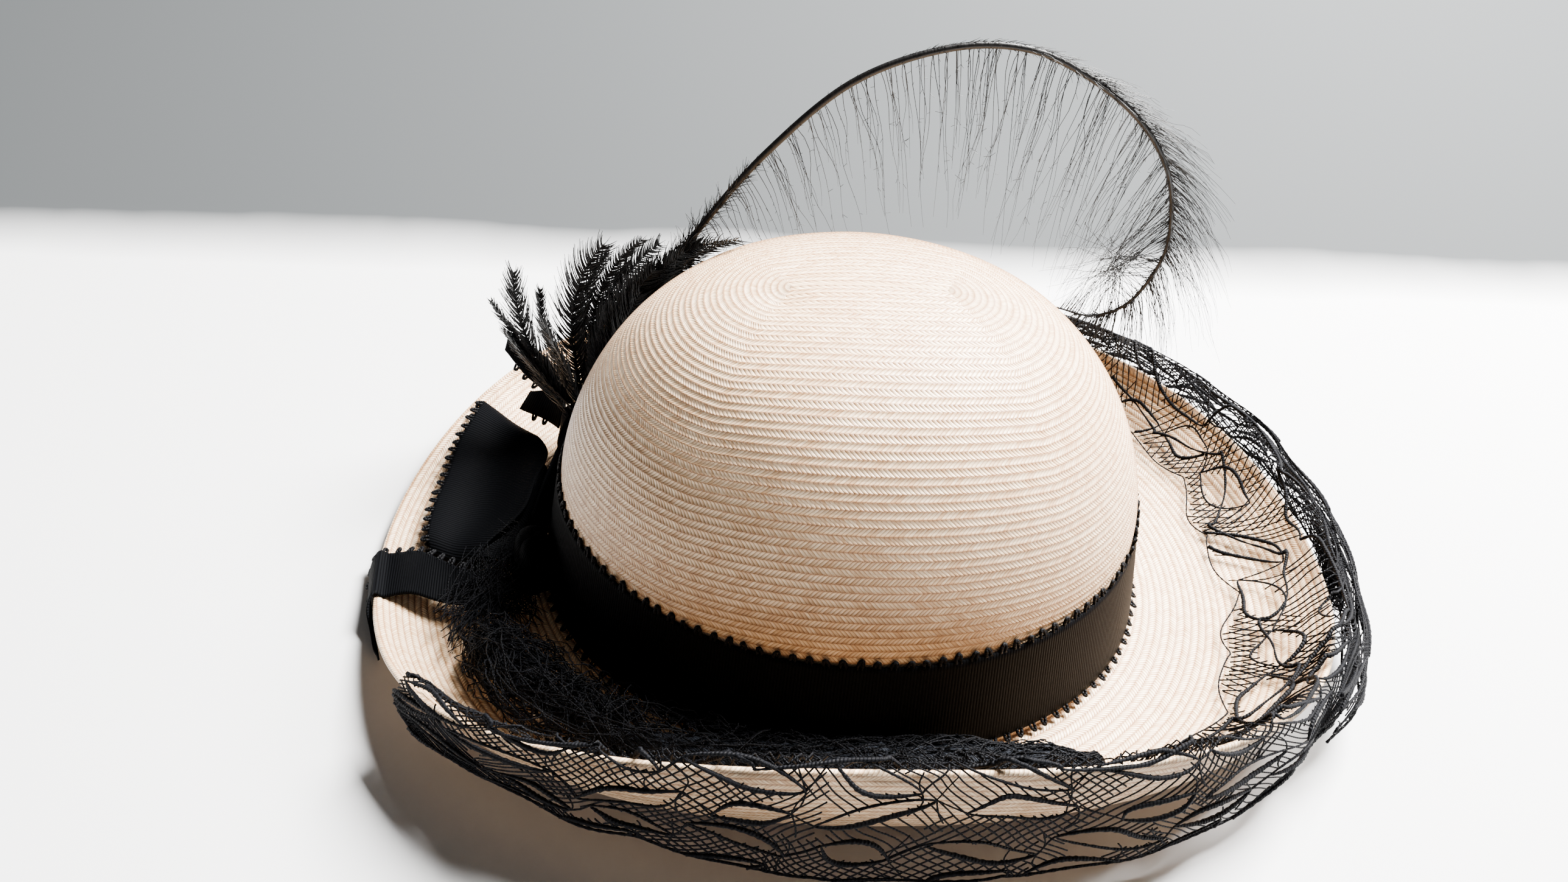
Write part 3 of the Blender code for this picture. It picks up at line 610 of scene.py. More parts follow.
def braid(base, rows, sign, steps, relief):
    """Points, row numbers and faces' uvs of rows of braid laid over base(share)."""
    places = np.concatenate([row + steps for row in range(rows)] + [[rows]])
    heights = np.concatenate([relief] * rows + [[0.0]])
    points = base(places / rows)
    return points + sign * surface_normals(points, wrap_columns=True) * heights[:, None, None], places


def ring_lengths(points):
    return np.linalg.norm(np.roll(points, -1, 1) - points, axis=-1).sum(1)


def braid_uvs(points, places, columns):
    """u counts strands round each row, a whole number of them; v counts rows."""
    rings = ring_lengths(points)
    row_of = np.minimum(places[:-1].astype(int), int(places[-1]) - 1)
    middle = np.array([rings[np.argmin(np.abs(places - (row + 0.5)))] for row in range(int(places[-1]))])
    count = np.maximum(np.round(middle / STRAND), 4)[row_of]
    share = np.arange(columns + 1) / columns
    u0, u1 = share[:-1], share[1:]
    uvs = np.zeros((len(places) - 1, columns, 4, 2))
    uvs[:, :, 0, 0] = uvs[:, :, 3, 0] = count[:, None] * u0
    uvs[:, :, 1, 0] = uvs[:, :, 2, 0] = count[:, None] * u1
    uvs[:, :, 0, 1] = uvs[:, :, 1, 1] = places[:-1, None]
    uvs[:, :, 2, 1] = uvs[:, :, 3, 1] = places[1:, None]
    return uvs.reshape(-1, 4, 2)


CROWN_SLOT, SLOT_TURN = 0.0229, 0.6  # the braid starts along a short line at the top
DENT_X, DENT_Y, DENT_SIZE, DENT_DEPTH = -0.027, -0.006, 0.0050, 1.2 * MM


def make_crown():
    foot = STRAW + SEAT
    angle = TAU * (np.arange(AROUND) + 0.5) / AROUND
    start_x = CROWN_SLOT * np.clip(np.cos(angle) / SLOT_TURN, -1, 1)
    t = np.sin(np.linspace(0.004, math.pi / 2, 140))

    def profile(angle, inset):
        """Path of each meridian from the slot over the shoulder to the foot."""
        half_length, half_width = SHOULDER_LENGTH / 2 - inset, SHOULDER_WIDTH / 2 - inset
        edge = np.stack([half_length * np.cos(angle), half_width * np.sin(angle)], -1)
        start = np.stack([start_x, 0 * angle], -1)
        plan = mix(start[None], edge[None], t[:, None, None])
        size = np.clip(np.hypot(plan[..., 0] / half_length, plan[..., 1] / half_width), 0, 1)
        rise = (1 - size ** PLAN_POWER) ** (1 / RISE_POWER)
        height = SHOULDER_HEIGHT + (CROWN_HEIGHT - inset - SHOULDER_HEIGHT) * rise
        dome = np.concatenate([plan, height[..., None]], -1)
        wall = np.stack([crown_point(angle, z, -inset) for z in np.linspace(SHOULDER_HEIGHT, foot, 12)[1:]])
        return np.concatenate([dome, wall])

    def base(inset):
        path = profile(angle, inset)
        steps = run_length(path)
        steps = steps / steps[-1]
        return lambda share: np.stack([sample(share, steps[:, c], path[:, c]) for c in range(AROUND)], 1)

    length = np.linalg.norm(np.diff(profile(angle, 0.0), axis=0), axis=-1).sum(0).mean()
    rows = int(round(length / ROW_PITCH))
    outer, places = braid(base(0.0), rows, 1, ROW_STEPS, ROW_RELIEF)
    normal = surface_normals(outer, wrap_columns=True)
    wobble = ripple(outer[..., 0] * 1000, outer[..., 1] * 1000, 3, scale=0.10) \
        * ripple(outer[..., 2] * 1000, outer[..., 0] * 1000, 4, scale=0.08)
    outer = outer + normal * wobble[..., None] * 0.5 * MM
    dent = np.exp(-((outer[..., 0] - DENT_X) ** 2 + (outer[..., 1] - DENT_Y) ** 2) / (2 * DENT_SIZE ** 2))
    outer = outer - np.array([0, 0, 1.0]) * (dent * (outer[..., 2] > 0.09))[..., None] * DENT_DEPTH
    inner_rows = rows // 6
    inner, inner_places = braid(base(1.8 * MM), inner_rows, -1, np.array((0.0,)), np.array((0.0,)))
    count = len(outer) * AROUND
    foot_row = (len(outer) - 1) * AROUND + np.arange(AROUND)
    inner_foot = count + (len(inner) - 1) * AROUND + np.arange(AROUND)
    faces = [grid_faces(len(outer), AROUND, wrap_columns=True)[:, ::-1],
             grid_faces(len(inner), AROUND, wrap_columns=True, start=count),
             np.stack([foot_row, np.roll(foot_row, -1), np.roll(inner_foot, -1), inner_foot], -1)[:, ::-1]]
    uvs = [braid_uvs(outer, places, AROUND)[:, ::-1],
           braid_uvs(inner, inner_places, AROUND) * np.array((1, rows / inner_rows)),
           np.zeros((AROUND, 4, 2))]
    half = AROUND // 2
    for start, flip in ((0, False), (count, True)):
        ids = start + np.arange(half)
        across = start + (AROUND - 1 - np.arange(half))
        lid = np.stack([ids[:-1], ids[1:], across[1:], across[:-1]], -1)
        faces.append(lid[:, ::-1] if flip else lid)
        uvs.append(np.full((len(lid), 4, 2), 0.5))
    return make_piece("straw_crown", np.concatenate([outer.reshape(-1, 3), inner.reshape(-1, 3)]), faces, straw,
                      uvs, replaces=("crown",))


def make_brim():
    angle = TAU * np.arange(AROUND) / AROUND
    samples = np.linspace(0, 1, 90)
    reach = brim_section(angle)[2]
    inner_share = -STRAW / reach
    share = mix(inner_share[None], 1.0, samples[:, None])
    path = brim_point(angle[None], share)
    steps = run_length(path)
    rows = int(round(steps[-1].mean() / ROW_PITCH))
    steps = steps / steps[-1]

    def base(lift):
        def at(places):
            out = np.stack([np.interp(places, steps[:, c], share[:, c]) for c in range(AROUND)], 1)
            return brim_point(angle[None], out, lift)
        return at

    drop = STRAW * 0.94
    top, places = braid(base(0.0), rows, -1, ROW_STEPS, ROW_RELIEF)
    under, under_places = braid(base(-drop), rows, 1, ROW_STEPS, ROW_RELIEF * 0.55)
    edge = brim_point(angle, 1.0)
    lean = edge - brim_point(angle, 1.0, -drop)
    centre = edge - lean / 2
    outward = unit(edge - brim_point(angle, 0.985))
    rounded = [centre + lean / 2 * math.cos(a) + outward * drop * 0.42 * math.sin(a)
               for a in np.linspace(0, math.pi, 7)[1:-1]]
    ring = np.concatenate([top, np.stack(rounded), under[::-1]])
    rim_places = np.linspace(places[-1], places[-1] + 0.6, len(rounded) + 1)[1:]
    faces = [grid_faces(len(ring), AROUND, wrap_rows=True, wrap_columns=True)]
    under_uvs = braid_uvs(under, under_places, AROUND).reshape(-1, AROUND, 4, 2)[::-1][:, :, [3, 2, 1, 0]]
    count = np.round(np.linalg.norm(np.roll(centre, -1, 0) - centre, axis=-1).sum() / STRAND)
    edge_lines = np.concatenate([[places[-1]], rim_places, [places[-1] + 0.7]])
    edge_uvs = grid_uvs(count * np.arange(AROUND + 1) / AROUND, edge_lines)
    uvs = [braid_uvs(top, places, AROUND), edge_uvs, under_uvs.reshape(-1, 4, 2), np.full((AROUND, 4, 2), 0.5)]
    return make_piece("straw_brim", ring, faces, straw, uvs, replaces=("brim",))


# Ribbons with loops along their woven edges
PICOT_PITCH, PICOT_HIGH, PICOT_WIDE, PICOT_THREAD = 0.0046, 0.0021, 0.0015, 0.00058


def picots(threads, edge, outward, seed, closed=False, high=PICOT_HIGH):
    """Small thread loops standing out of an edge line."""
    local = np.random.default_rng(seed)
    steps = run_length(edge)
    count = int(steps[-1] // PICOT_PITCH)
    for index in range(count):
        middle = (index + 0.5) * steps[-1] / count
        if not closed and not PICOT_PITCH <= middle <= steps[-1] - PICOT_PITCH:
            continue
        at = sample(middle, steps, edge)
        ahead = unit(sample(middle + 0.0004, steps, edge) - at)
        out = sample(middle, steps, outward)
        out = unit(out - out.dot(ahead) * ahead)
        over = np.cross(ahead, out)
        turn = np.linspace(-0.25, math.pi + 0.25, 9)
        tall, wide = high * local.uniform(0.85, 1.15), PICOT_WIDE * local.uniform(0.85, 1.1)
        lean, tip = local.uniform(-0.25, 0.25), local.uniform(-0.22, 0.22)
        reach = np.sin(turn) * tall
        line = (at + ahead * (np.cos(turn) * wide / 2 + lean * reach)[:, None] + out * reach[:, None]
                + over * (tip * reach)[:, None])
        line[:, 2] = np.maximum(line[:, 2], PICOT_THREAD * 1.5)
        threads.add(line, PICOT_THREAD, sides=4)


def make_band():
    angle = TAU * np.arange(AROUND * 2) / (AROUND * 2)
    shares = np.linspace(0, 1, 15)
    lift = SEAT + RIBBON * 0.5
    height = BAND_FOOT + BAND_WIDTH * shares
    bulge = 0.35 * MM * ripple(angle[None] * 9, shares[:, None] * 2.2, 8, scale=1.0)
    band = crown_point(angle[None], height[:, None], lift + np.clip(bulge, -0.0002, 0.0006))
    band = np.concatenate([band, band[:, :1]], 1).transpose(1, 0, 2)
    steps = run_length(band[:, 7]) * 1000
    piece = shell("band_ribbon", band[:-1], RIBBON * 0.75, steps[:-1], shares * BAND_WIDTH * 1000, ribbon,
                  wrap=True, replaces=("band",))
    threads = Threads()
    rest = crown_point(angle, BAND_FOOT + BAND_WIDTH, lift)
    away = crown_point(angle, BAND_FOOT + BAND_WIDTH + 0.01, lift + 0.0004) - rest
    closing = [*range(len(angle)), 0]
    picots(threads, rest[closing], away[closing], 21, closed=True)
    rest = crown_point(angle, BAND_FOOT + 0.0002, lift)
    away = crown_point(angle, BAND_FOOT, lift + 0.01) - rest - np.array([0, 0, 0.0075])
    picots(threads, rest[closing], away[closing], 22, closed=True, high=0.0024)
    edges = threads.piece("band_picots", loops)


def ribbon_piece(name, pairs, dips, across, along, node, closed=False, picot_edges=(0,),
                 creases=0.25, seed=1, pleats=0.0):
    """A ribbon through pairs of edge points, with its ribs and picots."""
    route = curve_through(pairs, along, closed)
    share = np.linspace(0, 1, across)
    grid = mix(route[:, None, 0], route[:, None, 1], share[None, :, None])
    if dips is not None:
        sag = curve_through(np.array(dips)[:, None], along, closed)
        grid[..., 2] -= sag * np.sin(math.pi * share)[None] ** 2
    steps = run_length(grid[:, across // 2])
    wide = np.linalg.norm(grid[:, -1] - grid[:, 0], axis=-1).mean()
    ends = np.linspace(0, 1, along)
    fade = np.ones(along) if closed else smooth(0, 0.08, ends) * smooth(0, 0.08, 1 - ends)
    loop_fade = np.sin(math.pi * np.arange(along) / along) ** 2 if closed else fade
    wave = ripple(steps[:, None] * 1000, share[None] * wide * 1000, seed, scale=0.28) * creases * MM
    fold = pleats * MM * np.sin(share[None] * TAU * 3.0 + steps[:, None] * 40)
    offset = (wave * loop_fade[:, None] + fold * fade[:, None])[..., None]
    grid = grid + surface_normals(grid, wrap_rows=closed) * offset
    piece = shell(name + "_ribbon", grid, RIBBON * 0.7, steps * 1000, share * wide * 1000, ribbon, wrap=closed,
                  replaces=(node,) if node else ())
    threads = Threads()
    for side in picot_edges:
        edge = grid[:, 0 if side == 0 else -1]
        away = grid[:, 0] - grid[:, 2] if side == 0 else grid[:, -1] - grid[:, -3]
        picots(threads, edge, away, seed + 30 + side, closed=closed)
    with_pieces = [threads.piece(name + "_picots", loops)] if threads.count else []


def on_brim(degrees, place, lift):
    return brim_point(math.radians(degrees), place, lift * KNOT_HEIGHT)


def outside_rim(degrees, distance, height):
    turn = math.radians(degrees)
    return past_rim(turn, distance * TAIL_DROP, np.array(height * float(rim(turn)[1]) + RIBBON))


def on_pad(degrees, height, lift):
    return crown_point(math.radians(degrees), height * PAD_HEIGHT, lift * PAD_REACH)


def edge_pairs(point, rows):
    """Both edges of a ribbon from rows that name a point of one edge, then one of the other."""
    return [(point(*row[:3]), point(*row[3:6])) for row in rows]


def make_bow():
    ribbon_piece("bow_loop", edge_pairs(on_brim, LOOP_SECTIONS), [row[6] * BOW_DIP for row in LOOP_SECTIONS],
                 25, 168, "bow_loop", closed=True, creases=0.30, seed=3)
    pairs = edge_pairs(on_brim, TAIL_SECTIONS) + edge_pairs(outside_rim, TAIL_DROP_SECTIONS)
    ribbon_piece("bow_tail", pairs, None, 17, 110, "bow_tail", creases=0.25, seed=4)
    for seed, name, along, flat in ((6, "bow_end_long", 60, (0.012, 0.038)),
                                    (7, "bow_end_short", 34, (0.012, 0.018))):
        ribbon_piece(name, edge_pairs(on_pad, END_SECTIONS[name]), None, 11, along, name,
                     picot_edges=(1,), creases=0.35, seed=seed)
    clear = RIBBON * 1.5 + SEAT * 3
    pairs = [(crown_point(math.radians(degrees), top * KNOT_HEIGHT, clear + lean * KNOT_REACH),
              crown_point(math.radians(degrees), bottom * KNOT_HEIGHT, clear))
             for degrees, bottom, top, lean in SIDE_FOLD_SECTIONS]
    ribbon_piece("bow_side_fold", pairs, None, 11, 60, "bow_side_fold",
                 picot_edges=(), creases=0.2, seed=9)
    ribbon_piece("bow_gather", edge_pairs(on_brim, GATHER_SECTIONS), GATHER_DIPS, 15, 70, None,
                 picot_edges=(), creases=0.45, seed=12, pleats=0.25)


def cushion(first, last, low, high, near, far, power, rings, columns, pleat=None):
    """Points of a rounded block against the band, rings from its foot to its top."""
    phi = np.linspace(-math.pi / 2 + 0.02, math.pi / 2 - 0.02, rings)
    theta = TAU * np.arange(columns) / columns
    phi, theta = np.meshgrid(phi, theta, indexing="ij")
    place = np.stack([np.cos(phi) * np.cos(theta), np.cos(phi) * np.sin(theta), np.sin(phi)], -1)
    place = place / (np.abs(place) ** power).sum(-1, keepdims=True) ** (1 / power)
    if pleat is not None:
        place = place * (1 - pleat(phi, theta))[..., None]
    angle = np.radians(mix(first, last, (place[..., 0] + 1) / 2))
    return crown_point(angle, mix(low, high, (place[..., 2] + 1) / 2), mix(near, far, (place[..., 1] + 1) / 2))


def closed_grid(name, points, material, **words):
    """A closed piece from rings of points with both ends filled."""
    rows, columns = points.shape[:2]
    down = np.cumsum([0, *np.linalg.norm(np.diff(points, axis=0), axis=-1).mean(1)]) * 1000
    faces = [grid_faces(rows, columns, wrap_columns=True),
             np.stack([np.arange(columns)[::-1], (rows - 1) * columns + np.arange(columns)])]
    uvs = [grid_uvs(np.linspace(0, ring_lengths(points).max() * 1000, columns + 1), down),
           np.zeros((2, columns, 2))]
    return make_piece(name, points, faces, material, uvs, **words)


def make_knot():
    near = RIBBON + 2 * SEAT

    def pleat(phi, theta):
        folds = np.abs(np.sin(2.5 * (phi * 1.3 + 0.35 * np.sin(theta * 2)) + 1.2 * np.cos(theta)))
        return 0.10 * (1 - folds ** 0.7) + 0.03

    points = cushion(*KNOT_ANGLES, BAND_FOOT, BAND_FOOT + KNOT_HEIGHT, near, near + KNOT_REACH,
                     3.2, 64, 96, pleat)
    piece = closed_grid("bow_knot_ribbon", points, ribbon, replaces=("bow_knot",))
    threads = Threads()
    local = np.random.default_rng(40)
    for _ in range(26):
        start = crown_point(math.radians(local.uniform(185.5, 191)), local.uniform(0.014, 0.0245),
                            near + KNOT_REACH * local.uniform(0.7, 1.0))
        direction = unit(np.array([-0.8, local.uniform(-0.8, 0.9), local.uniform(0.0, 0.9)]))
        drop = local.uniform(0.3, 1.2)
        t = np.linspace(0, 1, 9)[:, None]
        length = local.uniform(0.003, 0.0085)
        line = start + length * (direction * t + np.array([0, 0, -0.5 * drop]) * t ** 2)
        line[:, 2] = np.maximum(line[:, 2], 0.0065)
        threads.add(line, 0.00010)
    threads.piece("bow_frayed_ends", loops)


HACKLES = (
    # column, row, angle, height, lift, half width in mm
    (0, 0, 136.0, 0.88, 0.30, 5.0), (0, 2, 138.6, 0.84, 0.62, 5.5), (1, 1, 141.2, 0.78, 0.42, 5.0),
    (1, 3, 142.6, 0.77, 0.95, 5.0), (2, 0, 144.8, 0.70, 0.20, 6.5), (2, 2, 146.0, 0.83, 1.05, 7.0),
    (3, 1, 149.3, 0.50, 1.08, 5.0), (3, 3, 151.0, 0.68, 1.66, 6.0),
    # smaller feathers between them
    (0, 1, 134.6, 0.92, 0.16, 4.0), (0, 3, 137.4, 0.70, 0.75, 4.0), (1, 0, 140.0, 0.86, 0.28, 4.5),
    (1, 2, 142.0, 0.86, 0.80, 4.0), (2, 1, 145.2, 0.60, 0.55, 4.0), (2, 3, 147.6, 0.60, 1.35, 3.5),
    (3, 0, 148.6, 0.46, 0.35, 3.5), (3, 2, 152.6, 0.47, 1.45, 3.5), (3, 3, 152.0, 0.56, 1.75, 3.0),
    (0, 2, 135.4, 0.95, 0.22, 6.0), (1, 1, 138.4, 0.90, 0.26, 6.0), (0, 1, 140.2, 0.80, 0.14, 7.0),
    (2, 1, 143.0, 0.78, 0.30, 7.0),
)


# Barbs: spacing and thickness of the outer and the inner ones, in mm
BARB_STEP, BARB_THICK, INNER_STEP, INNER_THICK = 0.72, 0.34, 1.9, 0.18


def vane(threads, path, wide, half_width, count, thick, seed, lean=0.75, start=0.10):
    """Barbs on both sides of a feather's shaft, longest near its middle."""
    local = np.random.default_rng(seed)
    along = unit(np.gradient(path, axis=0))
    places = np.linspace(0, 1, len(path))
    t = np.linspace(0, 1, 6)[:, None]
    for side in (-1, 1):
        for share in np.linspace(start, 0.995, count):
            share = min(share + local.uniform(-0.3, 0.3) / count, 1.0)
            at = sample(share, places, path)
            ahead = unit(sample(share, places, along))
            across = unit(wide - wide.dot(ahead) * ahead) * side
            normal = np.cross(ahead, across)
            envelope = math.sin(math.pi * min(share ** 0.8 * 0.93 + 0.05, 1.0)) ** 0.6
            length = half_width * (0.30 + envelope) * local.uniform(0.75, 1.25)
            tilt = local.normal(0, 0.14)
            line = at + length * (across * (t - 0.22 * t ** 2) + ahead * (lean * t + 0.55 * t ** 2)
                                  + normal * (tilt * t + local.normal(0, 0.08) * t ** 2))
            threads.add(line, thick * np.linspace(1.0, 0.25, 6), cap=False)


def make_hackles():
    near = RIBBON + 2 * SEAT
    far = near + PAD_REACH
    top = BAND_FOOT + PAD_HEIGHT
    first, last = PAD_ANGLES

    def pleat(phi, theta):
        return 0.07 * np.abs(np.sin(theta * 5.5 + phi * 1.5)) + 0.02

    points = cushion(first, last, BAND_FOOT, top, near, far, 5, 56, 120, pleat)
    pad = closed_grid("rosette", points, ribbon, replaces=("hackles",))
    shafts, barbs = Threads(), Threads()
    for index, (column, row, tip_angle, tip_height, tip_lift, half_width) in enumerate(HACKLES):
        angle0 = mix(first, last, (column + 0.5) / 4)
        lift0 = mix(near, far, (row + 0.5) / 4)
        share = np.linspace(-0.12, 1, 26)
        bow = np.sin(math.pi * np.clip(share, 0, 1)) * (0.0022 if index % 2 else -0.0016)
        path = crown_point(np.radians(mix(angle0, tip_angle, share)),
                           mix(top, tip_height * CROWN_HEIGHT, share),
                           mix(lift0, tip_lift * HACKLE_REACH, share) + bow)
        shafts.add(path, 0.42 * MM * np.linspace(1, 0.2, len(path)), sides=5)
        turn = math.radians(angle0 + 25 * (index % 3 - 1))
        wide = np.array([math.cos(turn), math.sin(turn), 0.0])
        length = np.linalg.norm(path[-1] - path[0])
        vane(barbs, path, wide, half_width * MM, int(length / (BARB_STEP * MM)), BARB_THICK * MM, 100 + index)
        vane(barbs, path, np.cross(wide, unit(path[-1] - path[0])), half_width * 0.6 * MM,
             int(length / (INNER_STEP * MM)), INNER_THICK * MM, 200 + index, lean=1.0, start=0.02)
    shafts.piece("hackle_shafts", feather)
    barbs.piece("hackle_barbs", feather)


# Barbs of the plume: within the curl, outside it, round the foot and along the quill
PLUME_INNER, PLUME_OUTER, PLUME_FOOT, PLUME_SHORT = 330, 520, 900, 900


def make_plume():
    scale = np.array([FOOT_LENGTH / 2, FOOT_WIDTH / 2, CROWN_HEIGHT])
    path = curve_through(QUILL_PATH * scale, 220)
    places = np.linspace(0, 1, len(path))
    quill = Threads()
    quill.add(path, np.interp(places, (0, 0.35, 0.6, 0.8, 1), (1.1, 1.25, 1.15, 0.7, 0.35)) * MM, sides=8)
    quill.piece("plume_quill", feather, replaces=("plume",))
    along = unit(np.gradient(path, axis=0))
    inward = unit(np.cross(np.array([0, 1.0, 0]), along))
    back_way = np.cross(along, inward)
    local = np.random.default_rng(70)
    down = np.array([0.0, 0.0, -1.0])
    threads = Threads()

    def toward(table, share):
        return unit(sample(share, places, table))

    def barb(share, direction, length, fall, thick, steps, curl=0.0, hairs=0):
        at, ahead, back_at = sample(share, places, path), toward(along, share), toward(back_way, share)
        t = np.linspace(0, 1, steps)[:, None]
        swing = local.normal(0, 0.10)
        line = at + length * (direction * (t - 0.35 * fall * t ** 2) + down * fall * 0.75 * t ** 2
                              + ahead * curl * t ** 2 + back_at * (local.normal(0, 0.12) * t + swing * t ** 2)
                              + local.normal(0, 0.015, 3) * np.sin(t * TAU * 1.5))
        threads.add(line, thick * np.linspace(1, 0.3, steps), cap=False)
        for _ in range(hairs):
            start = line[int(local.uniform(0.1, 0.9) * (steps - 1))]
            away = unit(local.normal(0, 1, 3) + down * 0.4 + direction * 0.4)
            threads.add(start + length * 0.05 * local.uniform(0.5, 1.2) * away * np.linspace(0, 1, 3)[:, None],
                        thick * 0.5, cap=False)

    for share in np.sort(local.uniform(0.13, 0.995, PLUME_INNER)):
        inner = toward(inward, share)
        length = np.interp(share, (0.13, 0.25, 0.4, 0.6, 0.78, 0.9, 1.0), (16, 28, 46, 60, 46, 26, 16)) * MM
        length *= local.uniform(0.45, 1.15)
        hang = np.interp(share, (0.13, 0.5, 0.7, 0.85, 1), (0.8, 1.3, 1.1, -0.2, -0.8))
        back = np.interp(share, (0.13, 0.5, 0.75, 1), (0.25, 0.1, 0.15, -0.5))
        lean = unit(inner + down * hang + toward(along, share) * (back + local.normal(0, 0.16)))
        barb(share, lean, length, np.interp(share, (0.13, 0.7, 0.9), (0.5, 0.35, -0.1)), 0.16 * MM, 11, hairs=4)
    for share in np.sort(local.uniform(0.40, 0.97, PLUME_OUTER)):
        outer = -toward(inward, share)
        length = np.interp(share, (0.40, 0.5, 0.62, 0.75, 0.90, 0.97), (4, 6, 26, 40, 38, 20)) * MM
        length *= local.uniform(0.4, 1.1)
        sweep = np.interp(share, (0.40, 0.6, 0.75, 0.95), (2.2, 1.7, 1.1, 0.35))
        lean = unit(outer + toward(along, share) * sweep * local.uniform(0.8, 1.3))
        barb(share, lean, length, np.interp(share, (0.4, 0.7), (0.05, 0.35)), 0.16 * MM, 8, curl=0.15, hairs=1)
    for share in np.sort(local.uniform(0.0, 0.30, PLUME_FOOT)):
        side = local.normal(0, 1)
        lean = unit(toward(inward, share) * side + toward(back_way, share) * local.normal(0, 1)
                    + toward(along, share) * 1.8)
        length = np.interp(share, (0.0, 0.15, 0.30), (16, 15, 6)) * MM * local.uniform(0.5, 1.2)
        barb(share, lean, length, 0.1, 0.18 * MM, 6)
    for share in np.sort(local.uniform(0.28, 0.97, PLUME_SHORT)):
        lean = unit(toward(inward, share) * local.normal(0, 1) + toward(back_way, share) * local.normal(0, 1)
                    + toward(along, share) * 2.6)
        longest = np.interp(share, (0.28, 0.45, 0.6, 0.75, 0.97), (3, 4, 9, 8, 5))
        barb(share, lean, local.uniform(0.4, 1.0) * longest * MM, 0.1, 0.17 * MM, 5)
    threads.piece("plume_barbs", feather)


# Veil: lace drawn in millimetres round the hat (s) and down the net (t)
VEIL_START, VEIL_END = VEIL_SECTIONS[0, 0], VEIL_SECTIONS[-1, 0]
VEIL_LONG, VEIL_DEEP = 760.0, 88.0


def veil_surface(s, t, off=0.0):
    """A point of the veil and its folds; off lifts it along the net's outer side, in metres."""
    s, t, off = np.broadcast_arrays(np.asarray(s, float), np.asarray(t, float), off)
    place, down = s / VEIL_LONG, np.clip(t / VEIL_DEEP, 0, 1)
    degrees = mix(VEIL_START, VEIL_END, place)
    inner, crest, bulge, hem = between_rows(VEIL_SECTIONS, degrees)
    angle = np.radians(degrees)
    height = rim(angle)[1]
    row = 1 / VEIL_ROWS
    lower = smooth(0.0, 0.25, down) * smooth(-0.02, 0.06, place) * smooth(-0.02, 0.06, 1 - place)
    inner = inner + 0.05 * ripple(s, 0 * s, 51, scale=0.11)
    folds = ripple(s, t * 0.5, 52, waves=8, scale=0.13) * 1.6
    off = off + folds * MM * mix(0.25, 1.0, lower)
    upper_share = np.clip(down / row, 0, 1)
    over = np.clip((upper_share - VEIL_TURN) / (1 - VEIL_TURN), 0, None)
    lift = np.maximum(VEIL_LIFT * (1 - over) + off * (1 - over), 0.0009)
    puff = crest * VEIL_CREST * upper_share ** 3
    rise = VEIL_LIFT * over + puff + np.maximum(off, -0.001) * over
    upper = brim_point(angle, mix(inner, 1, upper_share), lift) + upward(rise)
    share = np.clip((down - row) / (1 - row), 0, 1)
    top = height + VEIL_LIFT + crest * VEIL_CREST
    hem_wave = 1.5 * MM * ripple(s, 0 * s, 53, scale=0.16) * share
    foot = mix(STRAW, height, hem)
    drop = np.maximum(mix(top, foot, share ** VEIL_DROP_EASE) + hem_wave, 0.0028)
    out = bulge * VEIL_BULGE * np.sin(math.pi * VEIL_TUCK * share ** VEIL_BULGE_EASE)
    out = out + np.maximum(off, -0.0008 - 0.5 * out) * smooth(0, 0.2, share)
    drop = drop + np.maximum(off, -0.001) * (1 - smooth(0, 0.2, share))
    return np.where((down <= row)[..., None], upper, past_rim(angle, out, drop))


def warp(s, t):
    """Gives the drawn pattern the uneven flow of stretched net."""
    return (s + 3.2 * ripple(s, t, 61, scale=0.075) + 1.0 * ripple(s, t, 62, scale=0.25),
            t + 2.6 * ripple(s, t, 63, scale=0.075) + 0.8 * ripple(s, t, 64, scale=0.25))


# Radii of the lace's threads, in millimetres
FINE, LINK, SCALLOP, THIN_CORD, LIGHT_CORD, HEAVY_CORD = 0.27, 0.30, 0.42, 0.24, 0.40, 0.74
LEAF_PITCH = 19.5
# base, wave, swing, start: cords in S shapes
VINES = ((10.5, 62.0, 5.5, 0.4), (22.0, 76.0, 6.0, 2.1))


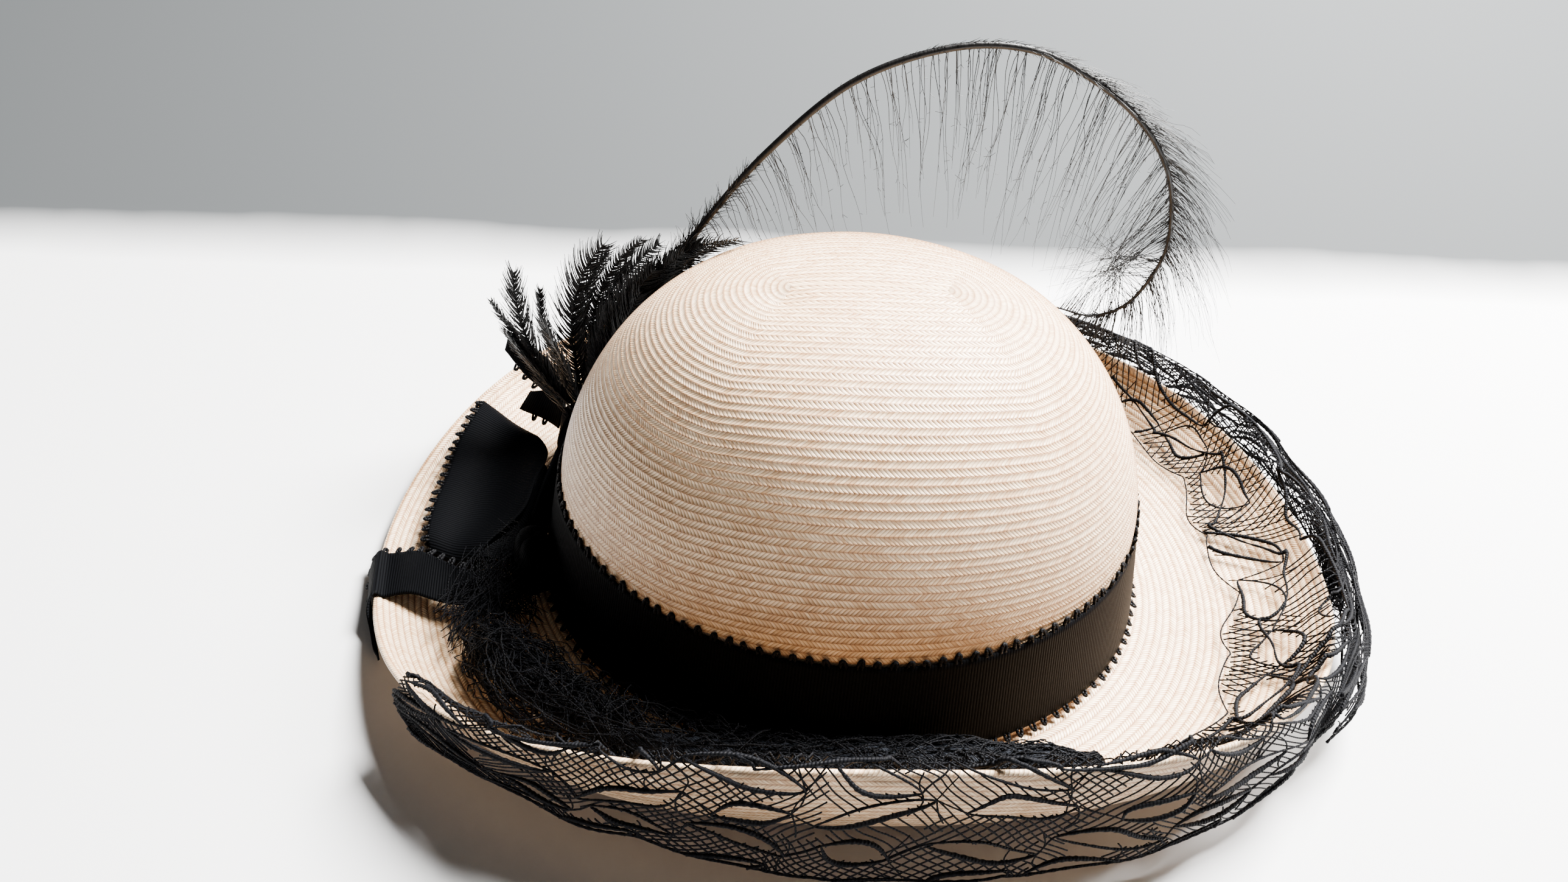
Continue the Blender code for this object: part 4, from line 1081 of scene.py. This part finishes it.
class Lace:
    """Draws threads in pattern millimetres and lays them on the veil."""

    def __init__(self, phase=0.0, top=0.0, bottom=VEIL_DEEP, off=0.0, first=0.0, last=VEIL_LONG):
        self.threads = Threads()
        self.phase, self.top, self.bottom, self.off = phase, top, bottom, off
        self.first, self.last = first, last
        self.leaves = []
        self.local = np.random.default_rng(int(300 + phase))

    def hem(self, s):
        return self.bottom - 0.8 - 3.2 * (1 - np.abs(np.sin(math.pi * s / 46.0)) ** 0.7)

    def upper(self, s):
        return self.top + 0.8 + 2.4 * (1 - np.abs(np.sin(math.pi * s / 38.0 + 0.7)) ** 0.7)

    def lay(self, line, radius, sides=3, lift=0.0):
        s, t = warp(line[:, 0] + self.phase, line[:, 1])
        s = s - self.phase
        inside = (s >= self.first) & (s <= self.last) & (t >= self.upper(s)) & (t <= self.hem(s))
        radius = np.broadcast_to(np.asarray(radius, float), (len(s),))
        for run in runs(inside):
            if run.stop - run.start >= 2:
                self.threads.add(veil_surface(s[run], t[run], self.off + lift), radius[run] * MM, sides=sides)

    def plan_leaves(self):
        """Chains of leaf shapes along the net, every other chain half a step on."""
        for row in range(int(self.bottom / LEAF_PITCH) + 1):
            x = -8.0 - (17.0 if row % 2 else 0.0)
            while x < self.last + 20:
                long = self.local.uniform(22, 36)
                gap = self.local.uniform(4, 9)
                y = 9.0 + row * LEAF_PITCH + 2.5 * math.sin(x / 21.0 + row * 1.9)
                high = self.local.uniform(8.5, 13.0)
                turn = math.radians(self.local.uniform(0, 34) * (1 if row % 2 else -1))
                self.leaves.append((x + long / 2, y, long, high, turn, row))
                x += long * math.cos(turn) + gap

    def inside_leaf(self, x, y, grow=0.0):
        inside = np.zeros(np.shape(x), bool)
        for cx, cy, long, high, turn, row in self.leaves:
            dx, dy = x - cx, y - cy
            near = (np.abs(dx) < long) & (np.abs(dy) < long)
            if not near.any():
                continue
            along = (dx * math.cos(turn) + dy * math.sin(turn)) / (long / 2 + grow)
            across = (-dx * math.sin(turn) + dy * math.cos(turn)) / (high / 2 + grow)
            half = np.cos(np.clip(along, -1, 1) * math.pi / 2) ** 0.8
            inside |= near & (np.abs(across) < half) & (np.abs(along) < 1)
        return inside

    def beads(self, count):
        return 1 + 0.16 * np.sin(np.arange(count) * 2.6)

    def draw_leaves(self):
        t = np.linspace(-1, 1, 27)
        for number, (cx, cy, long, high, turn, row) in enumerate(self.leaves):
            heavy = (number * 7 + row) % 3
            for side in (-1, 1):
                x = t * long / 2
                y = side * high / 2 * np.cos(t * math.pi / 2) ** 0.8 + 0.07 * high * np.sin(t * math.pi)
                line = np.stack([cx + x * math.cos(turn) - y * math.sin(turn),
                                 cy + x * math.sin(turn) + y * math.cos(turn)], -1)
                full = HEAVY_CORD if heavy == 2 or (heavy == 0) == (side > 0) else LIGHT_CORD
                thick = (THIN_CORD + (full - THIN_CORD) * np.cos(t * math.pi / 2) ** 0.7) * self.beads(27)
                self.lay(line, thick, sides=5, lift=0.0003)

    def draw_links(self):
        """Single cords from leaf to leaf, and thin ones down to the next chain."""
        t = np.linspace(0, 1, 8)[:, None]
        for (ax, ay, al, _, at, ar), (bx, by, bl, _, bt, br) in zip(self.leaves, self.leaves[1:]):
            start = np.array([ax + al / 2 * math.cos(at), ay + al / 2 * math.sin(at)])
            if ar == br:
                end = np.array([bx - bl / 2 * math.cos(bt), by - bl / 2 * math.sin(bt)])
                self.lay(mix(start, end, t), LINK * self.beads(8), sides=4, lift=0.0002)
            low = start + np.array([self.local.uniform(-4, 4), 12.5])
            turn = np.stack([np.sin(t[:, 0] * math.pi) * self.local.uniform(-2.0, 2.0), 0 * t[:, 0]], -1)
            self.lay(mix(start, low, t) + turn, 0.26 * self.beads(8), sides=4, lift=0.0001)
            self.lay(mix(start, low - np.array([0, 25.0]), t) - turn, THIN_CORD * self.beads(8), sides=4,
                     lift=0.0001)

    def draw_vines(self):
        """Heavy cords that swing in long S shapes between the chains of leaves."""
        at = np.arange(self.first - 6, self.last + 6, 1.5)
        for row, (base, wave, swing, start) in enumerate(VINES):
            x = at + swing * np.sin(TAU * 2 * at / wave + start)
            y = base + 0.95 * swing * np.sin(TAU * at / wave + start * 1.7) + 1.6 * np.sin(at / 9.0 + row)
            thick = LINK + LIGHT_CORD * np.abs(np.sin(TAU * at / wave + start)) ** 0.8
            self.lay(np.stack([x, y], -1), thick * self.beads(len(at)), sides=5, lift=0.0004)

    def draw_ground(self, pitch=2.7):
        """Fine threads side by side: crossed where the net is dense, one way elsewhere, none in the leaves."""
        corners = np.array([(self.first - 5, self.top - 5), (self.last + 5, self.top - 5),
                            (self.first - 5, self.bottom + 5), (self.last + 5, self.bottom + 5)])
        for turn, seed, limit in ((56, 71, -0.50), (-50, 72, -0.20)):
            turn = math.radians(turn)
            ahead = np.array([math.cos(turn), math.sin(turn)])
            side = np.array([-math.sin(turn), math.cos(turn)])
            low, high = (corners @ side).min(), (corners @ side).max()
            for at in np.arange(low, high, pitch):
                at = at + self.local.uniform(-0.4, 0.4)
                along = np.arange((corners @ ahead).min(), (corners @ ahead).max(), 2.0)
                line = side * at + ahead * along[:, None]
                line = line[(line[:, 1] > self.top - 8) & (line[:, 1] < self.bottom + 8)
                            & (line[:, 0] > self.first - 8) & (line[:, 0] < self.last + 8)]
                if len(line) < 3:
                    continue
                ground = ripple(line[:, 0] + self.phase, line[:, 1], seed, waves=5, scale=0.11)
                keep = (ground > limit) & ~self.inside_leaf(line[:, 0], line[:, 1], 0.3)
                for run in runs(keep):
                    run = slice(max(run.start - 1, 0), min(run.stop + 1, len(line)))
                    if run.stop - run.start >= 3:
                        self.lay(line[run], FINE)

    def draw_edges(self):
        s = np.arange(self.first, self.last, 1.6)
        for at, thick in ((self.upper(s), 0.26), (self.hem(s), SCALLOP)):
            points = veil_surface(s, at, self.off)
            self.threads.add(points, thick * MM * (1 + 0.2 * np.sin(s * 2.1)), sides=5)

    def draw(self, pitch=2.7):
        self.plan_leaves()
        self.draw_leaves()
        self.draw_links()
        self.draw_vines()
        self.draw_ground(pitch)
        self.draw_edges()


def runs(mask):
    """Slices of the stretches where mask holds."""
    edges = np.flatnonzero(np.diff(np.concatenate([[0], np.asarray(mask, int), [0]])))
    return [slice(a, b) for a, b in zip(edges[::2], edges[1::2])]


def make_veil():
    main = Lace()
    main.draw()
    net = main.threads.piece("veil_net", lace, replaces=("veil",))
    fold = Lace(phase=333.0, top=32.0, bottom=84.0, off=0.0034, first=300.0, last=690.0)
    fold.draw(pitch=2.9)
    folded = fold.threads.piece("veil_fold", lace)


BUNCH_ANGLE, BUNCH_THREADS = -9.0, 170
ROLL_THREADS, TANGLED_THREADS, LOOPED_THREADS, LOOSE_THREADS = 1000, 520, 210, 330


def make_roll():
    first, last = ROLL_SECTIONS[0, 0], ROLL_SECTIONS[-1, 0]
    steps, sides = 200, 40
    degrees = np.linspace(first, last, steps)
    place, size = between_rows(ROLL_SECTIONS, degrees)
    radius = size * ROLL_RADIUS
    centre = brim_point(np.radians(degrees), place, radius + SEAT * 2)
    along = unit(np.gradient(centre, axis=0))
    aside = unit(np.cross(along, np.array([0, 0, 1.0])))
    up_way = np.cross(aside, along)
    length = run_length(centre) * 1000

    def on_roll(at, turn, scale):
        """A point on the roll at a length in mm and an angle round it."""
        c, a, u = (sample(at, length, table) for table in (centre, aside, up_way))
        r = np.interp(at, length, radius) * scale
        return c + r[..., None] * (a * np.cos(turn)[..., None] + u * np.sin(turn)[..., None])

    at, turn = np.meshgrid(length, TAU * np.arange(sides) / sides, indexing="ij")
    folds = (0.80 + 0.10 * ripple(at, turn * 9, 81, waves=8, scale=0.35) + 0.06 * np.sin(turn * 5 + at * 0.12)
             + 0.04 * ripple(at, turn * 12, 82, waves=8, scale=1.4))
    core = on_roll(at, turn, folds * mix(0.42, 1.0, smooth(62, 108, at)))
    core_piece = closed_grid("veil_roll_core", core, fuzz, replaces=("veil_roll",))
    threads = Threads()
    local = np.random.default_rng(90)
    total = length[-1]
    for index in range(ROLL_THREADS):
        tangled = index < TANGLED_THREADS
        start = local.uniform(-8, 62) if tangled else local.uniform(70, total)
        run = local.uniform(6, 26)
        t = np.linspace(0, 1, 9)
        at = np.clip(start + run * t + 1.5 * np.sin(t * TAU * local.uniform(0.5, 2) + index), 0, total)
        spin = local.uniform(-0.1, math.pi * 1.1) + local.normal(0, 1.8 if tangled else 1.2) * t
        depth = local.uniform(0.35, 1.02) if tangled else local.uniform(0.90, 1.04)
        scale = depth + 0.09 * np.sin(t * TAU * local.uniform(0.6, 2.4) + index)
        threads.add(on_roll(at, spin, scale), local.uniform(0.13, 0.30) * MM, cap=False)
    wrap = threads.piece("veil_roll_threads", lace)

    # The net between the roll and the bow, standing in loops
    net = Threads()
    for index in range(LOOPED_THREADS):
        start = local.uniform(-6, 110)
        t = np.linspace(0, 1, 18)
        at = start + local.normal(0, 14) * t + 2.0 * np.sin(t * TAU * local.uniform(0.4, 1.5))
        spin = local.uniform(0.2, 2.9) + local.normal(0, 1.0) * t
        scale = 1.0 + 0.42 * np.sin(math.pi * t) * local.uniform(0.1, 1.0) + 0.04 * np.sin(t * TAU * 4 + index)
        net.add(on_roll(np.clip(at, 0, total), spin, scale), local.uniform(0.12, 0.24) * MM, cap=False)
    for index in range(LOOSE_THREADS):
        t = np.linspace(0, 1, 14)[:, None]
        first = np.array([local.uniform(196, 207), local.uniform(0.10, 0.62), local.uniform(0.002, 0.013)])
        last = np.array([local.uniform(188, 200), local.uniform(0.08, 0.40), local.uniform(0.002, 0.019)])
        swing = np.sin(t * TAU * local.uniform(0.3, 1.2) + index)
        place = mix(first, last, t) + swing * np.array([0.9, 0.03, 0.0015])
        net.add(brim_point(np.radians(place[:, 0]), place[:, 1], np.maximum(place[:, 2], 0.0012)),
                local.uniform(0.10, 0.20) * MM, cap=False)
    net.piece("veil_gather_threads", lace)
    bunch = Threads()
    for index in range(BUNCH_THREADS):
        t = np.linspace(0, 1, 12)
        turn = math.radians(BUNCH_ANGLE) + (local.uniform(-0.16, 0.16) * (1 - t) + local.normal(0, 0.035))
        down = local.uniform(-0.004, 0.002) - local.uniform(0.002, 0.016) * t
        out = 0.0045 + 0.0025 * np.sin(t * math.pi) + local.uniform(-0.0015, 0.0022)
        height = rim(turn)[1] + VEIL_LIFT + down
        bunch.add(past_rim(turn, out, np.maximum(height, 0.003)), local.uniform(0.12, 0.26) * MM, cap=False)
    bunch.piece("veil_bunch_threads", lace)


make_crown()
make_brim()
make_band()
make_bow()
make_knot()
make_hackles()
make_plume()
make_veil()
make_roll()


# Floor, wall and light
WALL_EDGE, WALL_SLOPE = (0.205, 0.245), 20
FLOOR_COLOUR, WALL_COLOUR = (0.58, 0.58, 0.585), (0.042, 0.045, 0.047)
WINDOW_PLACE, WINDOW_SIZE = (0.62, 0.46, 0.98), (0.6, 0.6)
WINDOW_POWER, WINDOW_COLOUR = 290.0, (1.0, 0.99, 0.97)
FILL_COLOUR, FILL_STRENGTH = (1.0, 0.95, 0.90, 1), 0.12


def make_stage():
    material, shader = new_material("studio_white", (0.58, 0.58, 0.58), 0.8, specular=0.15)
    n = Nodes(material)
    place = n.object_place()
    depth = n.split(place)[1]
    far = n.grey(n.plus(depth, n.times(n.noise(place, 5.0, 4.0), 0.03)), *WALL_EDGE, 0.0, 1.0)
    n.join(n.ramp(far, ((0.0, FLOOR_COLOUR), (1.0, WALL_COLOUR))), shader.inputs["Base Color"])
    slope = math.radians(WALL_SLOPE)
    bend, start = 0.10, 0.20
    profile = [(-1.6, 0.0), (start, 0.0)]
    profile += [(start + bend * math.sin(a), bend - bend * math.cos(a)) for a in np.linspace(0, slope, 9)[1:]]
    y, z = profile[-1]
    profile += [(y + 0.9, z + 0.9 * math.tan(slope))]
    points = np.array([[(x, y, z) for x in (-2.2, 2.2)] for y, z in profile], float)
    mesh = bpy.data.meshes.new("studio_floor")
    mesh.from_pydata(points.reshape(-1, 3).tolist(), [], grid_faces(len(profile), 2).tolist())
    mesh.shade_smooth()
    mesh.materials.append(material)
    add_object("studio_floor", mesh)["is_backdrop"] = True


def area_light(name, place, target, size, power, colour):
    data = bpy.data.lights.new(name, "AREA")
    data.shape = "RECTANGLE"
    data.size, data.size_y = size
    data.energy = power
    data.color = colour
    light = add_object(name, data)
    light.location = place
    light.rotation_mode = "QUATERNION"
    light.rotation_quaternion = (Vector(target) - Vector(place)).to_track_quat("-Z", "Y")


make_stage()
area_light("window", WINDOW_PLACE, (0.0, 0.0, 0.04), WINDOW_SIZE, WINDOW_POWER, WINDOW_COLOUR)
world = bpy.data.worlds.new("studio")
bpy.context.scene.world = world
world.use_nodes = True
background = world.node_tree.nodes["Background"]
background.inputs["Color"].default_value = FILL_COLOUR
background.inputs["Strength"].default_value = FILL_STRENGTH

low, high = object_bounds()
